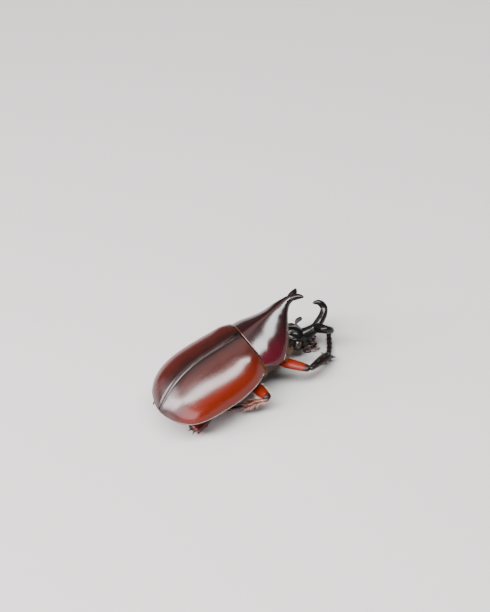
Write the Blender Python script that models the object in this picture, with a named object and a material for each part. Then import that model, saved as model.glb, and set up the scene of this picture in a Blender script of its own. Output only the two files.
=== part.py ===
# Male rhinoceros beetle, life size, walking pose: +X is the head, +Y its left, +Z up.
# The floor is z = 0 and the six feet rest on it. Lengths are metres.

import bisect
import random
from math import cos, pi, radians, sin

import bmesh
import bpy
import numpy as np
from mathutils import Matrix, Vector

MM = 0.001
GAP = 0.3 * MM                 # air between pieces that meet
OVERLAP = 1.4                  # how far a joined root sinks in, in radii
CORNER_PUSH = 1.5              # most that a corner moves out, in gaps, when a piece is grown
SMOOTH_ANGLE = radians(40)     # edges sharper than this stay sharp in the shading
DOME = ((0.5, 0.87), (0.87, 0.5))   # round end of a tube: (advance, radius), both in radii
SPIKE = (1.0, 0.65, 0.2)       # a tooth's or spur's radius at its root, middle and tip

# Wing cases, measured from the seam with the pronotum, which is x = 0 until the last shift
CASE_LENGTH = 28.2 * MM
CASE_HALF_WIDTH = 12.3 * MM
CASE_BASE_HALF_WIDTH = 9.9 * MM
CASE_WIDEST = 0.42             # fraction of the length
CASE_TIP_POWER = 4.0
CASE_RISE = 8.6 * MM           # crest above the side margin
CASE_BASE_RISE = 7.3 * MM
CASE_CREST = 0.42
CASE_FALL_POWER = 2.25
CASE_FALL_ROUNDING = 0.75
CASE_END = 0.996
CASE_WALL = 0.7 * MM
CASE_SQUARENESS = 2.02         # 2 is an ellipse
CASE_STATIONS = 20
CASE_SIDES = 10
STATION_CROWDING = 1.6         # above 1 the stations draw together towards the tip
MARGIN_HEIGHT = ((0.0, 9.2), (0.3, 7.9), (0.6, 7.6), (1.0, 7.2))
BASE_BOW = 0.9 * MM            # the seam bows back at the middle
BASE_BOW_FADE = 5.0 * MM
HIND_SLANT = 0.028             # the hind body trails a little to the right of the pronotum

# Trunk under the wing cases
TRUNK_INSET = 1.12 * MM
BELLY_DEPTH = 4.8 * MM
BELLY_TURN = 0.5               # where the belly starts to rise, as a fraction of the length
BELLY_FALL_POWER = 2.4
BELLY_FALL_ROUNDING = 0.6
BELLY_FLATNESS = 0.85          # below 1 the belly is flatter than an ellipse
THORAX_END = 0.34
ABDOMEN_END = 0.90
PYGIDIUM_END = 0.985
TRUNK_RINGS = {"thorax": 6, "abdomen": 9, "pygidium": 5}
TRUNK_SIDES = 13

# Small triangular plate at the middle of the seam
SCUTELLUM_LENGTH = 3.0 * MM
SCUTELLUM_WIDTH = 3.6 * MM
SCUTELLUM_FRONT = 1.5 * MM     # its cutter starts this far before the seam
SCUTELLUM_LEVELS = (12 * MM, 22 * MM)

# Pronotum and its horn, as (forward, value) in millimetres along one sweep
SHIELD_HALF_WIDTH = ((0.3, 9.3), (3.0, 9.7), (5.6, 9.3), (7.7, 7.7), (9.6, 5.9), (11.5, 3.8),
                     (13.2, 2.0), (14.5, 1.25), (16.0, 1.0), (17.0, 1.3), (17.8, 1.75))
SHIELD_CREST = ((0.3, 16.5), (3.0, 17.1), (5.6, 17.5), (9.6, 18.2), (11.5, 18.8), (13.2, 19.3),
                (14.5, 19.5), (16.0, 19.4), (17.2, 19.1))
SHIELD_MARGIN = ((0.3, 11.0), (3.0, 10.0), (5.6, 8.9), (7.7, 10.5), (9.6, 12.8), (11.5, 14.9),
                 (13.2, 17.2), (14.5, 18.2), (16.0, 18.4), (17.2, 18.2))
SHIELD_KEEL = ((0.3, 0.0), (6.5, 0.0), (9.6, 1.5), (11.5, 2.9), (13.2, 2.1), (14.5, 1.2), (16.0, 0.9),
               (17.2, 0.9))
SHIELD_POWER = ((0.3, 1.6), (3.0, 1.55), (5.6, 1.5), (9.6, 1.45), (11.5, 1.8), (13.2, 2.0), (17.2, 2.0))
SHIELD_REAR = 0.3 * MM
SHIELD_RINGS = 13
HORN_ROOT = 13.2 * MM
HORN_END = 17.5 * MM
HORN_RINGS = 9
PRONG_SUNK = 1.1 * MM          # its root lies this far back in the horn
PRONG_APART = 0.8 * MM
PRONG_DROP = 0.1 * MM
PRONG_SPREAD = 1.9 * MM        # each side of the middle
PRONG_REACH = 0.65 * MM
PRONG_RADII = (0.6 * MM, 0.56 * MM, 0.34 * MM)
BREAST_FRONT = 10.6 * MM
BREAST_WIDTH = 0.82            # share of the pronotum's width
BREAST_LOW = ((0.3, 3.4), (4.0, 3.4), (8.0, 4.0), (10.6, 5.0))
BREAST_RINGS = 8
BREAST_TOP_SIDES = 8
BREAST_LOW_SIDES = 10
BREAST_FLATNESS = 0.8

# Head, turned to its right on the neck: (ahead, half width, half height, centre height)
HEAD_TURN = radians(-20)
NECK = Vector((11.0, 0.9, 0.0)) * MM
HEAD_RINGS = ((0.0, 3.2, 2.7, 6.6), (1.2, 3.6, 3.1, 6.1), (2.8, 3.6, 3.1, 5.2), (4.2, 3.1, 2.6, 4.2),
              (5.2, 2.5, 1.8, 3.2), (6.1, 1.9, 1.0, 2.4))
HEAD_SIDES = 16
EYE_PLACE = (2.9, 3.25, 5.3)
EYE_RADIUS = 1.1 * MM
EYE_SEGMENTS = (12, 8)
TRUNK_HORN = ((3.4, 0.0, 4.6), (5.4, 0.0, 4.9), (7.4, 0.0, 5.7), (9.0, 0.0, 6.4))
TRUNK_HORN_RADII = (1.9, 1.65, 1.35, 1.25)
TINE = ((8.6, 0.2, 6.2), (10.2, 1.5, 6.7), (11.7, 3.2, 7.3), (12.3, 4.6, 8.3), (11.4, 5.2, 9.8),
        (9.7, 5.2, 10.3))
TINE_RADII = (1.0, 1.0, 0.85, 0.75, 0.6, 0.25)
TINE_STATIONS = 15
TINE_STUB_STATIONS = 3         # this much of each tine belongs to the horn's own node
ANTENNA_STALK = ((4.0, 2.2, 3.4), (4.6, 3.8, 3.5), (3.9, 5.0, 4.3))
ANTENNA_STALK_RADII = (0.45, 0.32, 0.3)
ANTENNA_CLUB = ((3.7, 5.3, 4.6), (4.5, 5.9, 4.8), (5.5, 6.2, 4.8))
ANTENNA_CLUB_RADII = (0.4, 0.65, 0.5)
MANDIBLE = ((5.4, 0.9, 1.7), (6.5, 1.1, 1.2), (7.3, 0.7, 1.1))
MANDIBLE_RADII = (0.6, 0.5, 0.28)

# Legs: (forward, outward, height) of hip, knee, tip of the tibia, and the tarsus
LEGS = {
    "fore_right": (-1, ((4.4, 4.4, 6.4), (10.3, 13.7, 6.0)), ((18.1, 8.9, 1.8),),
                   ((20.2, 5.6, 1.0), (22.8, 0.8, 0.25))),
    "fore_left": (1, ((4.4, 4.4, 6.0), (7.4, 14.0, 5.6)), ((13.9, 11.4, 1.9),),
                  ((14.8, 9.0, 1.0), (15.3, 4.4, 0.25))),
    "mid_right": (-1, ((-4.0, 5.0, 4.8), (-3.3, 14.6, 5.2)), ((-8.3, 9.4, 1.9),),
                  ((-10.2, 7.8, 0.9), (-12.6, 5.6, 0.25))),
    "mid_left": (1, ((-4.0, 5.0, 4.8), (-4.0, 14.9, 5.4)), ((-10.4, 16.2, 1.9),),
                 ((-12.6, 16.6, 0.9), (-15.6, 17.0, 0.25))),
    "hind_right": (-1, ((-8.2, 4.6, 4.0), (-15.8, 6.7, 2.9)), ((-23.2, 8.1, 2.4),),
                   ((-23.0, 5.4, 1.2), (-21.4, 2.2, 0.25))),
    "hind_left": (1, ((-8.2, 4.6, 4.4), (-13.4, 13.4, 5.2)), ((-21.4, 13.6, 2.2),),
                  ((-23.6, 12.4, 1.0), (-25.6, 9.8, 0.25))),
}
FEMUR_RADII = {"fore": (1.1, 1.5, 1.05), "mid": (1.2, 1.6, 1.1), "hind": (1.4, 1.9, 1.15)}
TIBIA_RADII = {"fore": (0.85, 1.15, 1.45), "mid": (0.8, 1.0, 1.3), "hind": (0.8, 1.05, 1.45)}
LEG_FLATNESS = 0.72
LEG_SIDES = 10
FEMUR_STATIONS = 7
TIBIA_STATIONS = 6
TARSUS_RADIUS = 0.5 * MM
TARSOMERES = 5
TARSUS_RINGS_EACH = 3
TARSUS_SIDES = 7
BEAD_NECK = 0.78               # shares of the tarsus radius
BEAD_SWELL = 0.34
BEAD_FLARE = 0.12
SOLE_HALF = 40 * MM            # block below the floor that the soles are cut by
SOLE_DEPTH = 5 * MM
WELD = 0.012 * MM              # slivers shorter than this are closed after a cut
CLAW_LENGTH = 1.5 * MM
CLAW_RADIUS = 0.27 * MM
CLAW_RADII = [CLAW_RADIUS * part for part in (1.0, 0.9, 0.65, 0.3)]
CLAW_MIDDLE = (0.6, 0.4)       # (forward, outward) shares of the claw's length
CLAW_TIP = (1.1, 0.55)
CLAW_ARCH = 0.25 * MM
CLAW_TIP_HEIGHT = 0.6 * CLAW_RADIUS
TOOTH_LENGTH = {"fore": 1.3, "mid": 1.0, "hind": 1.0}
TOOTH_PLACES = {"fore": (0.45, 0.70, 0.93), "mid": (0.55, 0.93), "hind": (0.55, 0.93)}
TOOTH_RADIUS = 0.5 * MM
TOOTH_EDGE = 0.8               # where a tooth leaves the tibia, as a share of its end radius
TOOTH_SUNK = 0.3
TOOTH_LEAN = 0.5
TOOTH_VARIATION = 0.1
SPUR_BACK = 0.5 * MM
SPUR_OUT = 0.4 * MM
# each spur beside the foot: (length in mm, share along the tibia, share outward)
SPURS = {"fore": ((2.8, 0.15, -1.0),), "mid": ((1.9, 0.9, -0.5), (1.6, 0.9, 0.4)),
         "hind": ((1.9, 0.9, -0.5), (1.6, 0.9, 0.4))}
SPUR_RADIUS = 0.3 * MM

COLOURS = {
    "case": ((0.16, 0.022, 0.012, 1), 0.18),
    "shield": ((0.12, 0.012, 0.012, 1), 0.16),
    "black": ((0.012, 0.009, 0.009, 1), 0.25),
    "femur": ((0.34, 0.06, 0.015, 1), 0.3),
    "belly": ((0.10, 0.03, 0.014, 1), 0.45),
    "eye": ((0.02, 0.012, 0.008, 1), 0.1),
}

random.seed(11)


def clear_scene():
    for item in list(bpy.data.objects):
        bpy.data.objects.remove(item, do_unlink=True)


def material(name):
    found = bpy.data.materials.get(name)
    if found:
        return found
    colour, rough = COLOURS[name]
    made = bpy.data.materials.new(name)
    made.use_nodes = True
    shader = made.node_tree.nodes["Principled BSDF"]
    shader.inputs["Base Color"].default_value = colour
    shader.inputs["Roughness"].default_value = rough
    shader.inputs["Metallic"].default_value = 0.0
    return made


def add_object(name, bm, finish):
    bmesh.ops.recalc_face_normals(bm, faces=bm.faces)
    mesh = bpy.data.meshes.new(name)
    bm.to_mesh(mesh)
    bm.free()
    item = bpy.data.objects.new(name, mesh)
    item.data.materials.append(material(finish))
    bpy.context.collection.objects.link(item)
    return item


def profile(knots, x):
    # smooth curve through (x, value) knots
    xs = [k[0] for k in knots]
    ys = [k[1] for k in knots]
    last = len(xs) - 1
    slopes = []
    for i in range(last + 1):
        low, high = max(i - 1, 0), min(i + 1, last)
        slopes.append((ys[high] - ys[low]) / (xs[high] - xs[low]))
    i = min(max(bisect.bisect_right(xs, x) - 1, 0), last - 1)
    span = xs[i + 1] - xs[i]
    u = min(max((x - xs[i]) / span, 0.0), 1.0)
    start = ys[i] * (1 + 2 * u) * (1 - u) ** 2 + slopes[i] * span * u * (1 - u) ** 2
    end = ys[i + 1] * u * u * (3 - 2 * u) - slopes[i + 1] * span * u * u * (1 - u)
    return start + end


def smooth_path(points, count):
    # evenly spaced samples of a Catmull-Rom curve through the points
    p = [Vector(q) for q in points]
    p = [2 * p[0] - p[1]] + p + [2 * p[-1] - p[-2]]
    dense = []
    steps = 12
    for i in range(1, len(p) - 2):
        for k in range(steps):
            t = k / steps
            a = 2 * p[i]
            b = (p[i + 1] - p[i - 1]) * t
            c = (2 * p[i - 1] - 5 * p[i] + 4 * p[i + 1] - p[i + 2]) * t ** 2
            d = (3 * p[i] - p[i - 1] - 3 * p[i + 1] + p[i + 2]) * t ** 3
            dense.append((a + b + c + d) / 2)
    dense.append(p[-2])
    reach = np.concatenate([[0], np.cumsum([(dense[i + 1] - dense[i]).length
                                            for i in range(len(dense) - 1)])])
    wanted = np.linspace(0, reach[-1], count)
    columns = [np.interp(wanted, reach, [q[axis] for q in dense]) for axis in range(3)]
    return [Vector(q) for q in zip(*columns)]


def loft(name, rings, finish):
    # closed body through rings of equal count, each end closed by a fan
    bm = bmesh.new()
    loops = [[bm.verts.new(p) for p in ring] for ring in rings]
    count = len(loops[0])
    for first, second in zip(loops, loops[1:]):
        for i in range(count):
            k = (i + 1) % count
            bm.faces.new((first[i], first[k], second[k], second[i]))
    for loop in (loops[0], loops[-1]):
        middle = bm.verts.new(sum((v.co for v in loop), Vector()) / count)
        for i in range(count):
            bm.faces.new((loop[i], loop[(i + 1) % count], middle))
    return add_object(name, bm, finish)


def shell(name, outer, inner, finish):
    # closed wall between two grids of points of the same size
    bm = bmesh.new()
    grids = [[[bm.verts.new(p) for p in row] for row in grid] for grid in (outer, inner)]
    rows, columns = len(outer), len(outer[0])
    for grid in grids:
        for i in range(rows - 1):
            for k in range(columns - 1):
                bm.faces.new((grid[i][k], grid[i][k + 1], grid[i + 1][k + 1], grid[i + 1][k]))
    border = [(0, k) for k in range(columns - 1)] + [(i, columns - 1) for i in range(rows - 1)]
    border += [(rows - 1, k) for k in range(columns - 1, 0, -1)] + [(i, 0) for i in range(rows - 1, 0, -1)]
    for here, there in zip(border, border[1:] + border[:1]):
        corners = [grids[0][here[0]][here[1]], grids[0][there[0]][there[1]],
                   grids[1][there[0]][there[1]], grids[1][here[0]][here[1]]]
        bm.faces.new(corners)
    return add_object(name, bm, finish)


def tube(name, path, radii, finish, sides=LEG_SIDES, flatness=1.0, round_ends=(True, True)):
    # tapered tube whose section keeps its turn along the path; a round end is a low dome
    directions = []
    for i in range(len(path)):
        directions.append((path[min(i + 1, len(path) - 1)] - path[max(i - 1, 0)]).normalized())
    spine = [(path[i], directions[i], radii[i]) for i in range(len(path))]
    if round_ends[0]:
        start = [(path[0] - directions[0] * radii[0] * d, directions[0], radii[0] * r) for d, r in DOME]
        spine = start[::-1] + spine
    if round_ends[1]:
        spine += [(path[-1] + directions[-1] * radii[-1] * d, directions[-1], radii[-1] * r)
                  for d, r in DOME]
    across = Vector((0, 0, 1)).cross(spine[0][1])
    rings = []
    for centre, direction, radius in spine:
        across = (across - direction * across.dot(direction)).normalized()
        other = direction.cross(across)
        ring = []
        for k in range(sides):
            angle = 2 * pi * k / sides
            ring.append(centre + across * radius * cos(angle) + other * radius * flatness * sin(angle))
        rings.append(ring)
    return loft(name, rings, finish)


def cone(name, root, tip, radius, finish, sides=6):
    # small tooth or spine with a nearly sharp end
    path = [root, root.lerp(tip, 0.5), tip]
    return tube(name, path, [radius * part for part in SPIKE], finish, sides, 1.0, (False, False))


def boolean(item, others, operation):
    group = bpy.data.collections.new("operands")
    bpy.context.scene.collection.children.link(group)
    for other in others:
        group.objects.link(other)
    modifier = item.modifiers.new("boolean", "BOOLEAN")
    modifier.operation = operation
    modifier.solver = "EXACT"
    modifier.operand_type = "COLLECTION"
    modifier.collection = group
    evaluated = item.evaluated_get(bpy.context.evaluated_depsgraph_get())
    result = bpy.data.meshes.new_from_object(evaluated)
    item.modifiers.clear()
    item.data = result
    for other in others:
        bpy.data.objects.remove(other, do_unlink=True)
    bpy.data.collections.remove(group)
    keep_largest(item)
    return item


def keep_largest(item):
    # a cut or a union leaves one closed surface
    bm = bmesh.new()
    bm.from_mesh(item.data)
    waiting = set(bm.verts)
    bodies = []
    while waiting:
        stack = [waiting.pop()]
        body = set(stack)
        while stack:
            for edge in stack.pop().link_edges:
                for vert in edge.verts:
                    if vert in waiting:
                        waiting.remove(vert)
                        body.add(vert)
                        stack.append(vert)
        bodies.append(body)
    bodies.sort(key=len)
    for body in bodies[:-1]:
        bmesh.ops.delete(bm, geom=list(body), context="VERTS")
    bm.to_mesh(item.data)
    # slivers are welded where that leaves the surface closed
    bmesh.ops.remove_doubles(bm, verts=bm.verts, dist=WELD)
    bmesh.ops.dissolve_degenerate(bm, edges=bm.edges, dist=WELD / 10)
    bmesh.ops.triangulate(bm, faces=[f for f in bm.faces if len(f.verts) > 3])
    if all(edge.is_manifold for edge in bm.edges):
        bm.to_mesh(item.data)
    bm.free()


def grown(item, amount=GAP):
    # copy pushed out along its normals
    copy = item.copy()
    copy.data = item.data.copy()
    bpy.context.collection.objects.link(copy)
    bm = bmesh.new()
    bm.from_mesh(copy.data)
    bm.normal_update()
    moves = [v.normal * amount * min(v.calc_shell_factor(), CORNER_PUSH) for v in bm.verts]
    for vert, move in zip(bm.verts, moves):
        vert.co += move
    bm.to_mesh(copy.data)
    bm.free()
    return copy


def trim(item, *parents):
    # cut the piece back so it meets each parent with the gap
    for parent in parents:
        boolean(item, [grown(parent)], "DIFFERENCE")
    return item


def signed_power(value, power):
    return abs(value) ** power * (1 if value >= 0 else -1)


def seam_bow(x, y, half_width):
    # how far the seam between pronotum and wing cases bows back here
    fade = max(0.0, 1 - abs(x) / BASE_BOW_FADE) ** 2
    return -BASE_BOW * fade * max(0.0, 1 - (y / half_width) ** 2)


def case_outline(t):
    if t < CASE_WIDEST:
        lost = (CASE_HALF_WIDTH - CASE_BASE_HALF_WIDTH) * (1 - t / CASE_WIDEST) ** 2
        return CASE_HALF_WIDTH - lost
    u = (t - CASE_WIDEST) / (1 - CASE_WIDEST)
    return CASE_HALF_WIDTH * (1 - u ** CASE_TIP_POWER) ** 0.5


def case_rise(t):
    if t < CASE_CREST:
        return CASE_RISE - (CASE_RISE - CASE_BASE_RISE) * (1 - t / CASE_CREST) ** 2
    u = (t - CASE_CREST) / (1 - CASE_CREST)
    return CASE_RISE * (1 - u ** CASE_FALL_POWER) ** CASE_FALL_ROUNDING


def case_point(t, angle, inset):
    # angle 0 is the left margin, pi the right one
    width = case_outline(t) * (1 - inset / CASE_HALF_WIDTH)
    rise = case_rise(t) * (1 - inset / CASE_RISE)
    y = width * signed_power(cos(angle), 2 / CASE_SQUARENESS)
    z = profile(MARGIN_HEIGHT, t) * MM + rise * abs(sin(angle)) ** (2 / CASE_SQUARENESS)
    x = -t * (CASE_LENGTH - inset)
    return Vector((x + seam_bow(x, y, CASE_BASE_HALF_WIDTH), y + x * HIND_SLANT, z))


def stations(first, last, count):
    # closer together towards the tip of the body
    return [last - (last - first) * (1 - i / (count - 1)) ** STATION_CROWDING for i in range(count)]


def case_grid(inset, first_angle, last_angle, shift):
    grid = []
    for t in stations(0.0, CASE_END, CASE_STATIONS):
        row = []
        for k in range(CASE_SIDES + 1):
            angle = first_angle + (last_angle - first_angle) * k / CASE_SIDES
            point = case_point(t, max(angle, 0.0), inset)
            row.append(point + Vector((0, shift, 0)))
        grid.append(row)
    return grid


def seam_plate(name, size, finish):
    # upright triangular prism over the middle of the seam
    length, half = SCUTELLUM_LENGTH + size, SCUTELLUM_WIDTH / 2 + size
    corners = [(SCUTELLUM_FRONT, half), (-BASE_BOW - length, 0.0), (SCUTELLUM_FRONT, -half)]
    rings = [[Vector((x, y, z)) for x, y in corners] for z in SCUTELLUM_LEVELS]
    return loft(name, rings, finish)


def wing_cases():
    outer = case_grid(0.0, 0.0, pi, 0.0)
    inner = case_grid(CASE_WALL, 0.0, pi, 0.0)
    scutellum = shell("scutellum", outer, inner, "black")
    boolean(scutellum, [seam_plate("plate", 0.0, "black")], "INTERSECT")
    for name, sign in (("elytron_left", 1), ("elytron_right", -1)):
        angles = (pi / 2, 0.0) if sign > 0 else (pi / 2, pi)
        shift = sign * GAP / 2
        outer = case_grid(0.0, *angles, shift)
        inner = case_grid(CASE_WALL, *angles, shift)
        case = shell(name, outer, inner, "case")
        boolean(case, [seam_plate("plate", GAP, "case")], "DIFFERENCE")


def trunk_piece(name, first, last):
    # one length of the body under the wing cases, belly included
    rings = []
    for t in stations(first, last, TRUNK_RINGS[name]):
        ring = [case_point(t, pi * k / TRUNK_SIDES, TRUNK_INSET) for k in range(TRUNK_SIDES + 1)]
        u = max(0.0, (t - BELLY_TURN) / (1 - BELLY_TURN))
        depth = BELLY_DEPTH * (1 - u ** BELLY_FALL_POWER) ** BELLY_FALL_ROUNDING
        width = case_outline(t) * (1 - TRUNK_INSET / CASE_HALF_WIDTH)
        for k in range(1, TRUNK_SIDES - 2):
            angle = pi + pi * k / (TRUNK_SIDES - 2)
            low = ring[0].z - depth * abs(sin(angle)) ** BELLY_FLATNESS
            y = width * cos(angle)
            x = -t * (CASE_LENGTH - TRUNK_INSET)
            ring.append(Vector((x + seam_bow(x, y, CASE_BASE_HALF_WIDTH), y + x * HIND_SLANT, low)))
        rings.append(ring)
    return loft(name, rings, "belly")


def trunk():
    gap = GAP / CASE_LENGTH
    thorax = trunk_piece("thorax", 0.0, THORAX_END)
    abdomen = trunk_piece("abdomen", THORAX_END + gap, ABDOMEN_END)
    trunk_piece("pygidium", ABDOMEN_END + gap, PYGIDIUM_END)
    return thorax, abdomen


def shield_ring(x, top_sides=16, keel_sides=5):
    # section of the pronotum, or further forward of its horn
    at = x / MM
    width = profile(SHIELD_HALF_WIDTH, at) * MM
    margin = profile(SHIELD_MARGIN, at) * MM
    rise = profile(SHIELD_CREST, at) * MM - margin
    power = 2 / profile(SHIELD_POWER, at)
    ring = []
    for k in range(top_sides + 1):
        angle = pi * k / top_sides
        y = width * signed_power(cos(angle), power)
        ring.append(Vector((x + seam_bow(x, y, width), y, margin + rise * abs(sin(angle)) ** power)))
    keel = profile(SHIELD_KEEL, at) * MM
    for k in range(1, keel_sides):
        angle = pi * k / keel_sides
        y = -width * cos(angle)
        ring.append(Vector((x + seam_bow(x, y, width), y, margin - keel * sin(angle))))
    return ring


def spaced(first, last, count):
    return [first + (last - first) * i / (count - 1) for i in range(count)]


def shield():
    # pronotum and its forked horn
    rear = spaced(SHIELD_REAR, HORN_ROOT - GAP / 2, SHIELD_RINGS)
    pronotum = loft("pronotum", [shield_ring(x) for x in rear], "shield")
    front = spaced(HORN_ROOT + GAP / 2, HORN_END, HORN_RINGS)
    horn = loft("thoracic_horn", [shield_ring(x) for x in front], "black")
    height = 0.5 * (profile(SHIELD_CREST, HORN_END / MM) + profile(SHIELD_MARGIN, HORN_END / MM)) * MM
    prongs = []
    for sign in (1, -1):
        root = Vector((HORN_END - PRONG_SUNK, sign * PRONG_APART, height))
        tip = Vector((HORN_END + PRONG_REACH, sign * PRONG_SPREAD, height - PRONG_DROP))
        prongs.append(tube("prong", [root, root.lerp(tip, 0.5), tip], PRONG_RADII, "black", 8))
    boolean(horn, prongs, "UNION")
    return pronotum


def breast():
    # plate under the pronotum that carries the fore legs
    rings = []
    for x in spaced(SHIELD_REAR, BREAST_FRONT, BREAST_RINGS):
        full = profile(SHIELD_HALF_WIDTH, x / MM) * MM
        width = full * BREAST_WIDTH
        margin = profile(SHIELD_MARGIN, x / MM) * MM - GAP
        keel = profile(SHIELD_KEEL, x / MM) * MM
        low = profile(BREAST_LOW, x / MM) * MM
        ring = []
        for k in range(BREAST_TOP_SIDES + 1):
            y = width * (1 - 2 * k / BREAST_TOP_SIDES)
            top = margin - keel * (1 - (y / full) ** 2) ** 0.5
            ring.append(Vector((x + seam_bow(x, y, full), y, top)))
        corner = ring[-1].z
        for k in range(1, BREAST_LOW_SIDES):
            angle = pi * k / BREAST_LOW_SIDES
            y = -width * signed_power(cos(angle), BREAST_FLATNESS)
            z = corner - (corner - low) * sin(angle) ** BREAST_FLATNESS
            ring.append(Vector((x + seam_bow(x, y, full), y, z)))
        rings.append(ring)
    return loft("prosternum", rings, "belly")


def head_place(point, side=1):
    # (ahead, outward, height) in millimetres on the turned head
    ahead, outward, height = (value * MM for value in point)
    place = Matrix.Rotation(HEAD_TURN, 4, "Z") @ Vector((ahead, side * outward, height))
    return place + NECK


def head_tube(name, points, radii, finish, side=1, sides=8, count=6):
    path = smooth_path([head_place(p, side) for p in points], count)
    spread = np.interp(np.linspace(0, 1, count), np.linspace(0, 1, len(radii)), radii)
    return tube(name, path, [r * MM for r in spread], finish, sides)


def head(pronotum, prosternum):
    rings = []
    for ahead, half_width, half_height, centre in HEAD_RINGS:
        ring = []
        for k in range(HEAD_SIDES):
            angle = 2 * pi * k / HEAD_SIDES
            ring.append(head_place((ahead, half_width * cos(angle), centre + half_height * sin(angle))))
        rings.append(ring)
    skull = loft("head", rings, "black")
    trim(skull, pronotum, prosternum)
    eyes = []
    for name, side in (("eye_left", 1), ("eye_right", -1)):
        bm = bmesh.new()
        around, upward = EYE_SEGMENTS
        bmesh.ops.create_uvsphere(bm, u_segments=around, v_segments=upward, radius=EYE_RADIUS)
        bmesh.ops.translate(bm, verts=bm.verts, vec=head_place(EYE_PLACE, side))
        eyes.append(add_object(name, bm, "eye"))
    return trim(skull, *eyes)


def head_horn(skull):
    # trunk with the root of each tine, then the two tines
    split = TINE_STUB_STATIONS
    trunk_horn = head_tube("cephalic_horn", TRUNK_HORN, TRUNK_HORN_RADII, "black", sides=10)
    places = np.linspace(0, 1, TINE_STATIONS)
    radii = [r * MM for r in np.interp(places, np.linspace(0, 1, len(TINE_RADII)), TINE_RADII)]
    stubs = []
    for name, side in (("cephalic_tine_left", 1), ("cephalic_tine_right", -1)):
        path = smooth_path([head_place(p, side) for p in TINE], TINE_STATIONS)
        stubs.append(tube("stub", path[:split + 1], radii[:split + 1], "black", 8, 1.0, (True, False)))
        start = path[split:]
        start[0] = start[0] + (start[1] - start[0]).normalized() * GAP
        tube(name, start, radii[split:], "black", 8, 1.0, (False, True))
    boolean(trunk_horn, stubs, "UNION")
    trim(trunk_horn, skull)


def feelers(skull):
    for word, side in (("left", 1), ("right", -1)):
        stalk = head_tube("antenna_stalk_" + word, ANTENNA_STALK, ANTENNA_STALK_RADII, "black", side)
        trim(stalk, skull)
        club = head_tube("antenna_club_" + word, ANTENNA_CLUB, ANTENNA_CLUB_RADII, "femur", side)
        trim(club, stalk)
        jaw = head_tube("mandible_" + word, MANDIBLE, MANDIBLE_RADII, "black", side)
        trim(jaw, skull)


def flatten_foot(item):
    # the sole is cut level with the floor
    half = SOLE_HALF
    corners = [(-half, -half), (half, -half), (half, half), (-half, half)]
    rings = [[Vector((x, y, z)) for x, y in corners] for z in (-SOLE_DEPTH, 0.0)]
    boolean(item, [loft("floor", rings, "black")], "DIFFERENCE")


def tibia_arms(kind, knee, tip, out):
    # outer teeth in a row and two spurs beside the foot
    along = (tip - knee).normalized()
    arms = []
    for place in TOOTH_PLACES[kind]:
        root = knee.lerp(tip, place)
        length = TOOTH_LENGTH[kind] * MM * random.uniform(1 - TOOTH_VARIATION, 1 + TOOTH_VARIATION)
        edge = TIBIA_RADII[kind][2] * MM * TOOTH_EDGE
        end = root + out * (edge + length) + along * length * TOOTH_LEAN
        arms.append(cone("tooth", root + out * edge * TOOTH_SUNK, end, TOOTH_RADIUS, "black"))
    for length, ahead, outward in SPURS[kind]:
        reach = along * ahead + out * outward
        root = tip - along * SPUR_BACK + out * outward * SPUR_OUT
        arms.append(cone("spur", root, tip + reach * length * MM, SPUR_RADIUS, "black"))
    return arms


def tarsus(name, start, points):
    # five bead-like joints, then two hooked claws
    count = TARSOMERES * TARSUS_RINGS_EACH + 1
    path = smooth_path([start] + points, count)
    radii = []
    for i in range(count):
        step = (i % TARSUS_RINGS_EACH) / TARSUS_RINGS_EACH
        radii.append(TARSUS_RADIUS * (BEAD_NECK + BEAD_SWELL * sin(pi * step) + BEAD_FLARE * step))
    foot = tube(name, path, radii, "black", TARSUS_SIDES)
    ahead = (path[-1] - path[-3]).normalized()
    across = Vector((0, 0, 1)).cross(ahead).normalized()
    claws = []
    for side in (1, -1):
        root = path[-1] - ahead * OVERLAP * CLAW_RADIUS
        middle = root + (ahead * CLAW_MIDDLE[0] + across * side * CLAW_MIDDLE[1]) * CLAW_LENGTH
        middle.z += CLAW_ARCH
        end = root + (ahead * CLAW_TIP[0] + across * side * CLAW_TIP[1]) * CLAW_LENGTH
        end.z = CLAW_TIP_HEIGHT
        claws.append(tube("claw", smooth_path([root, middle, end], 4), CLAW_RADII, "black", 5,
                          round_ends=(False, False)))
    boolean(foot, claws, "UNION")
    return foot


def leg(name, side, upper, lower, foot_points, bodies):
    kind = name.split("_")[0]
    place = [Vector((x, side * y, z)) * MM for x, y, z in upper + lower + foot_points]
    hip, knee, tip = place[:3]
    femur_radii = [r * MM for r in FEMUR_RADII[kind]]
    path = smooth_path([hip, hip.lerp(knee, 0.5), knee], FEMUR_STATIONS)
    spread = np.interp(np.linspace(0, 1, FEMUR_STATIONS), (0, 0.5, 1), femur_radii)
    femur = tube("femur_" + name, path, list(spread), "femur", LEG_SIDES, LEG_FLATNESS)
    trim(femur, *bodies)

    tibia_radii = [r * MM for r in TIBIA_RADII[kind]]
    path = smooth_path([knee, knee.lerp(tip, 0.5), tip], TIBIA_STATIONS)
    spread = np.interp(np.linspace(0, 1, TIBIA_STATIONS), (0, 0.5, 1), tibia_radii)
    tibia = tube("tibia_" + name, path, list(spread), "black", LEG_SIDES, LEG_FLATNESS)
    along = (tip - knee).normalized()
    out = (knee - hip) - along * (knee - hip).dot(along)
    boolean(tibia, tibia_arms(kind, knee, tip, out.normalized()), "UNION")
    trim(tibia, femur, *bodies)

    foot = tarsus("tarsus_" + name, tip, place[3:])
    trim(foot, tibia)
    flatten_foot(foot)


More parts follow.
